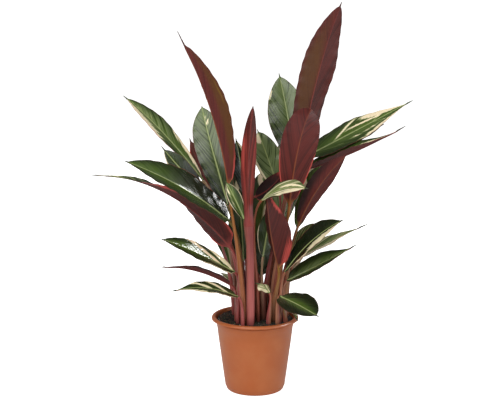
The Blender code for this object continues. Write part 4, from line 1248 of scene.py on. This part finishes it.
@dataclass
class NurseryPot:
    """The grower's pot: a tapered thin wall, a rolled rim, a shallow band, a stepped foot and drain holes.

    Attributes:
        finish: Its plastic.
    """

    finish: bpy.types.Material
    rim_radius: float = 85.0
    rim_depth: float = 6.0
    rim_edge: float = 1.0
    body_top: float = 76.5
    band_depth: float = 14.0
    band_step: float = 0.5
    crease_low: float = 4.0
    crease_depth: float = 1.1
    base_radius: float = 57.4
    foot_height: float = 9.0
    foot_step: float = 0.8
    base_round: float = 6.0
    wall: float = 1.8
    floor: float = 2.6
    floor_chamfer: float = 3.0
    inner_rings: tuple[float, ...] = (110.0, 75.0, 40.0)
    sides: int = 144
    holes: int = 8
    hole_radius: float = 4.5
    hole_circle: float = 42.0

    def radius(self, height: float) -> float:
        """Gives the body's outside radius at a height."""
        return self.base_radius + (self.body_top - self.base_radius) * height / (POT_HEIGHT - self.rim_depth)

    def profile(self) -> list[tuple[float, float]]:
        """Gives the wall's rings, from the underside, up the outside, over the rim and down to the floor."""
        under = POT_HEIGHT - self.rim_depth
        band = under - self.band_depth
        roll = (self.rim_radius - self.radius(under)) / 2
        inner = self.radius(self.floor) - self.foot_step - self.wall
        foot = (self.radius(0) - self.foot_step - self.base_round, self.base_round)
        return [
            (self.hole_circle / 3, 0.0),
            *arc(foot, self.base_round, -90, -8, 9),
            (self.radius(self.foot_height) - self.foot_step, self.foot_height - self.foot_step),
            (self.radius(self.foot_height) - 0.15, self.foot_height - 0.1),
            (self.radius(self.foot_height), self.foot_height + 0.4),
            *[(self.radius(band * k / 6), band * k / 6) for k in range(1, 6)],
            (self.radius(band) - self.band_step, band - self.band_step),
            (self.radius(band), band + 0.1),
            (self.radius(under - self.crease_low) - 0.1, under - self.crease_low),
            (self.radius(under - self.crease_low) - self.crease_depth, under - self.crease_low + 0.7),
            (self.radius(under) - self.crease_depth, under - 1.4),
            (self.radius(under) - 0.1, under - 0.8),
            (self.radius(under) + 0.6, under),
            (self.rim_radius - self.rim_edge, under),
            (self.rim_radius - 0.2, under + 0.3),
            (self.rim_radius, under + self.rim_edge),
            *arc((self.rim_radius - roll, POT_HEIGHT - roll), roll, 0, 180, 15),
            (self.radius(POT_HEIGHT) - self.wall, POT_HEIGHT - roll - 1.5),
            *[(self.radius(height) - self.wall, height) for height in self.inner_rings],
            (inner, self.floor + self.floor_chamfer),
            (inner - 1.2, self.floor + 0.6),
            (inner - self.floor_chamfer, self.floor),
            (self.hole_circle / 3, self.floor),
        ]

    def build(self) -> bpy.types.Object:
        """Makes the pot and drills its drain holes."""
        piece = lathe(self.profile(), self.sides)
        cutters = []
        for i in range(self.holes):
            angle = math.tau * (i + 0.5) / self.holes
            deselect()
            spot = Vector((math.cos(angle), math.sin(angle), 0)) * self.hole_circle * MM
            bpy.ops.mesh.primitive_cylinder_add(vertices=28, radius=self.hole_radius * MM,
                                                depth=4 * self.floor * MM, location=spot)
            cutters.append(bpy.context.object)
        deselect()
        for cutter in cutters:
            cutter.select_set(True)
        bpy.context.view_layer.objects.active = cutters[0]
        bpy.ops.object.join()
        drill = bpy.context.object
        cut = piece.modifiers.new("drain", "BOOLEAN")
        cut.operation = "DIFFERENCE"
        cut.object = drill
        cut.solver = "EXACT"
        apply_modifiers(piece)
        bpy.data.objects.remove(drill)
        piece.data.materials.clear()
        piece.data.materials.append(self.finish)
        finish_piece(piece, "nursery_pot", "pot")
        return piece


@dataclass(frozen=True)
class Grains:
    """Loose grains of one kind on the soil.

    Attributes:
        name: The piece's name.
        mix: What they are made of.
        count: How many there are.
        sizes: The smallest and largest radius.
        stretch: How much longer than wide a grain is.
    """

    name: str
    mix: PottingMix
    count: int
    sizes: tuple[float, float]
    stretch: float


GRAINS = (
    Grains("soil_crumbs", PEAT, 800, (0.9, 2.2), 1.0),
    Grains("soil_bark", BARK, 260, (0.7, 1.4), 2.2),
    Grains("soil_algae", ALGAE, 340, (0.7, 1.5), 1.2),
    Grains("soil_perlite", PERLITE, 60, (0.5, 0.9), 1.0),
)


@dataclass
class PottingSoil:
    """The root ball and potting mix: a crumbly, slightly heaped surface with loose grains on it.

    Attributes:
        pot: The pot that it fills.
        roots: Where the stalks stand.
        centre: Radius of the flat disc in the middle of its underside.
        slack: Space between it and the pot's wall.
        gap: Space between it and the pot's floor.
        clearance: How far grains stay from the middle of a stalk.
        coarse: Length of its mounds, with coarse_height.
        fine: Length of its crumbs, with fine_height.
        heap: How far it is heaped above the CAD's flat top.
        grain_roughness: How far a grain's corners are moved.
        grain_lift: How far a grain's middle lies above the surface, as a share of its radius.
        grain_turns: How far a grain is turned at most, back and forth, about x, y and z.
        grain_flatness: How high a grain is at least and at most, as a share of its width.
        seed: The seed of its random draws.
    """

    pot: NurseryPot
    roots: list[tuple[float, float]]
    centre: float = 6.0
    slack: float = 0.9
    clearance: float = 6.0
    gap: float = 0.4
    sides: int = 120
    rings: int = 34
    coarse: float = 9.0
    coarse_height: float = 1.5
    fine: float = 2.6
    fine_height: float = 0.9
    heap: float = 5.0
    grain_roughness: float = 0.35
    grain_lift: float = 0.3
    grain_turns: tuple[tuple[float, float], ...] = ((-0.5, 0.5), (-0.3, 0.3), (0, math.tau))
    grain_flatness: tuple[float, float] = (0.5, 0.9)
    seed: int = 11

    def height(self, x: float, y: float) -> float:
        """Gives the surface's height over a point."""
        coarse = noise.noise(Vector((x, y, self.seed)) / self.coarse)
        fine = noise.noise(Vector((x, y, self.seed + 40)) / self.fine)
        return SOIL_TOP + self.heap + self.coarse_height * coarse + self.fine_height * fine

    def build(self) -> list[bpy.types.Object]:
        """Makes the soil and what lies on it."""
        top = self.pot.radius(SOIL_TOP) - self.pot.wall - self.slack
        low = self.pot.floor + self.gap
        inner = self.pot.radius(self.pot.floor) - self.pot.foot_step - self.pot.wall - self.slack
        profile = [
            (self.centre, low),
            (inner - self.pot.floor_chamfer, low),
            (inner, low + self.pot.floor_chamfer),
            *[(top * ring / self.rings, SOIL_TOP) for ring in range(self.rings, 0, -1)],
        ]
        piece = lathe(profile, self.sides)
        mesh = piece.data
        for vertex in mesh.vertices:
            if vertex.co.z > (SOIL_TOP - 1) * MM:
                vertex.co.z = self.height(vertex.co.x / MM, vertex.co.y / MM) * MM
        mesh.materials.clear()
        mesh.materials.append(PEAT.build())
        finish_piece(piece, "potting_soil", "soil")
        return [piece, *[self.scatter(grains) for grains in GRAINS]]

    def spots(self, draw: np.random.Generator, count: int, margin: float) -> list[tuple[float, float]]:
        """Draws places on the soil that are clear of the stalks and of the pot's wall by a margin."""
        limit = self.pot.radius(SOIL_TOP) - self.pot.wall - self.slack - margin
        made = []
        while len(made) < count:
            radius, angle = limit * math.sqrt(draw.random()), draw.uniform(0, math.tau)
            x, y = radius * math.cos(angle), radius * math.sin(angle)
            if all(math.hypot(x - root[0], y - root[1]) > self.clearance for root in self.roots):
                made.append((x, y))
        return made

    def scatter(self, grains: Grains) -> bpy.types.Object:
        """Models one rough grain and strews turned and scaled copies of it over the soil, as one piece."""
        draw = np.random.default_rng(self.seed + grains.count)
        bpy.ops.mesh.primitive_ico_sphere_add(subdivisions=1, radius=MM)
        grain = bpy.context.object
        edit_whole(grain)
        bpy.ops.transform.vertex_random(offset=self.grain_roughness * MM, seed=self.seed)
        bpy.ops.object.mode_set(mode="OBJECT")
        grain.data.materials.append(grains.mix.build())
        deselect()
        for x, y in self.spots(draw, grains.count, grains.sizes[1] * grains.stretch):
            size = draw.uniform(*grains.sizes)
            copy = grain.copy()
            copy.data = grain.data.copy()
            copy.location = Vector((x, y, self.height(x, y) + self.grain_lift * size)) * MM
            copy.rotation_euler = [draw.uniform(*turn) for turn in self.grain_turns]
            copy.scale = (size * grains.stretch, size, size * draw.uniform(*self.grain_flatness))
            bpy.context.scene.collection.objects.link(copy)
            copy.select_set(True)
            bpy.context.view_layer.objects.active = copy
        bpy.data.objects.remove(grain)
        bpy.ops.object.join()
        bpy.ops.object.transform_apply()
        piece = bpy.context.object
        finish_piece(piece, grains.name, "soil")
        return piece


@dataclass
class Studio:
    """The photographer's set: a white floor, a white backdrop, soft boxes and the camera.

    Attributes:
        camera_place: Where the camera stands, in metres.
        camera_pitch: How far it looks down, in degrees.
        lens: Its focal length in mm, on a sensor of sensor_width.
        aim: Where the soft boxes look, in metres.
    """

    camera_place: tuple[float, float, float] = (-0.0098, -2.6, 0.864)
    camera_pitch: float = 10.6
    lens: float = 98.8
    sensor_width: float = 36.0
    aim: tuple[float, float, float] = (0.0, 0.0, 0.38)
    floor_radius: float = 40.0
    floor_colour: str = "#F4F4F2"
    glow: float = 0.93
    backdrop: float = 1.0
    ambient: float = 0.24

    def build(self) -> None:
        """Sets up the floor, the light and the camera."""
        self.add_floor()
        self.add_world()
        self.add_softbox("key", (-1.3, -2.2, 1.9), 2.3, 66.0)
        self.add_softbox("fill", (1.9, -1.9, 1.2), 1.9, 25.0)
        self.add_softbox("back", (-0.5, 2.5, 1.3), 2.0, 34.0).visible_glossy = False
        self.add_softbox("window", (2.04, -0.14, 1.18), 0.46, 50.0).visible_diffuse = False
        self.add_camera()
        view = bpy.context.scene.view_settings
        view.view_transform = "Standard"
        view.look = "None"

    def add_floor(self) -> None:
        """Lays a pale floor that looks as white as a lit sweep, and lights the plant only by reflection."""
        deselect()
        bpy.ops.mesh.primitive_circle_add(vertices=64, radius=self.floor_radius, fill_type="NGON")
        floor = bpy.context.object
        floor.name = "studio_floor"
        made, tree, shader = new_material("matt_white_floor")
        seen = add_node(tree, "LightPath", {}, {}, "Is Camera Ray")
        glow = add_node(tree, "Math", {"operation": "MULTIPLY"}, {0: seen, 1: self.glow})
        connect(tree, shader, {"Base Color": linear(self.floor_colour), "Roughness": 0.9,
                               "Emission Color": linear("#FFFFFF"), "Emission Strength": glow})
        floor.data.materials.append(made)

    def add_world(self) -> None:
        """Makes the backdrop white to the camera and dimmer as a light."""
        world = bpy.data.worlds.new("white_studio")
        world.use_nodes = True
        bpy.context.scene.world = world
        tree = world.node_tree
        seen = add_node(tree, "LightPath", {}, {}, "Is Camera Ray")
        strength = add_node(tree, "MapRange", {},
                            {"Value": seen, "To Min": self.ambient, "To Max": self.backdrop})
        connect(tree, tree.nodes["Background"], {"Color": linear("#FFFFFF"), "Strength": strength})

    def add_softbox(self, name: str, place: tuple[float, float, float], size: float,
                    power: float) -> bpy.types.Object:
        """Hangs a square soft box that looks at the plant's middle.

        Args:
            name: The light's name.
            place: Where it hangs, in metres.
            size: Its side, in metres.
            power: Its power in watts.

        Returns:
            The light.
        """
        aim = Vector(self.aim) - Vector(place)
        deselect()
        turn = aim.to_track_quat("-Z", "Y").to_euler()
        bpy.ops.object.light_add(type="AREA", location=place, rotation=turn)
        light = bpy.context.object
        light.name = name
        light.data.shape = "SQUARE"
        light.data.size = size
        light.data.energy = power
        return light

    def add_camera(self) -> None:
        """Stands the camera where the photographer's was."""
        deselect()
        bpy.ops.object.camera_add(location=self.camera_place,
                                  rotation=(math.radians(90 - self.camera_pitch), 0, 0))
        camera = bpy.context.object
        camera.data.sensor_width = self.sensor_width
        camera.data.lens = self.lens
        bpy.context.scene.camera = camera


def main() -> None:
    """Builds the pot, the soil and the leaves, and sets up the studio."""
    logging.basicConfig(level=logging.INFO, format="%(message)s")
    pot = NurseryPot(NurseryPlastic().build())
    pot.build()
    PottingSoil(pot, [leaf.root for leaf in LEAVES]).build()
    builder = LeafBuilder(LeafUpper().build(), LeafUnderside().build(), LeafStalk().build())
    for number, leaf in enumerate(LEAVES):
        builder.build(leaf, number)
    Studio().build()


if __name__ == "__main__":
    main()
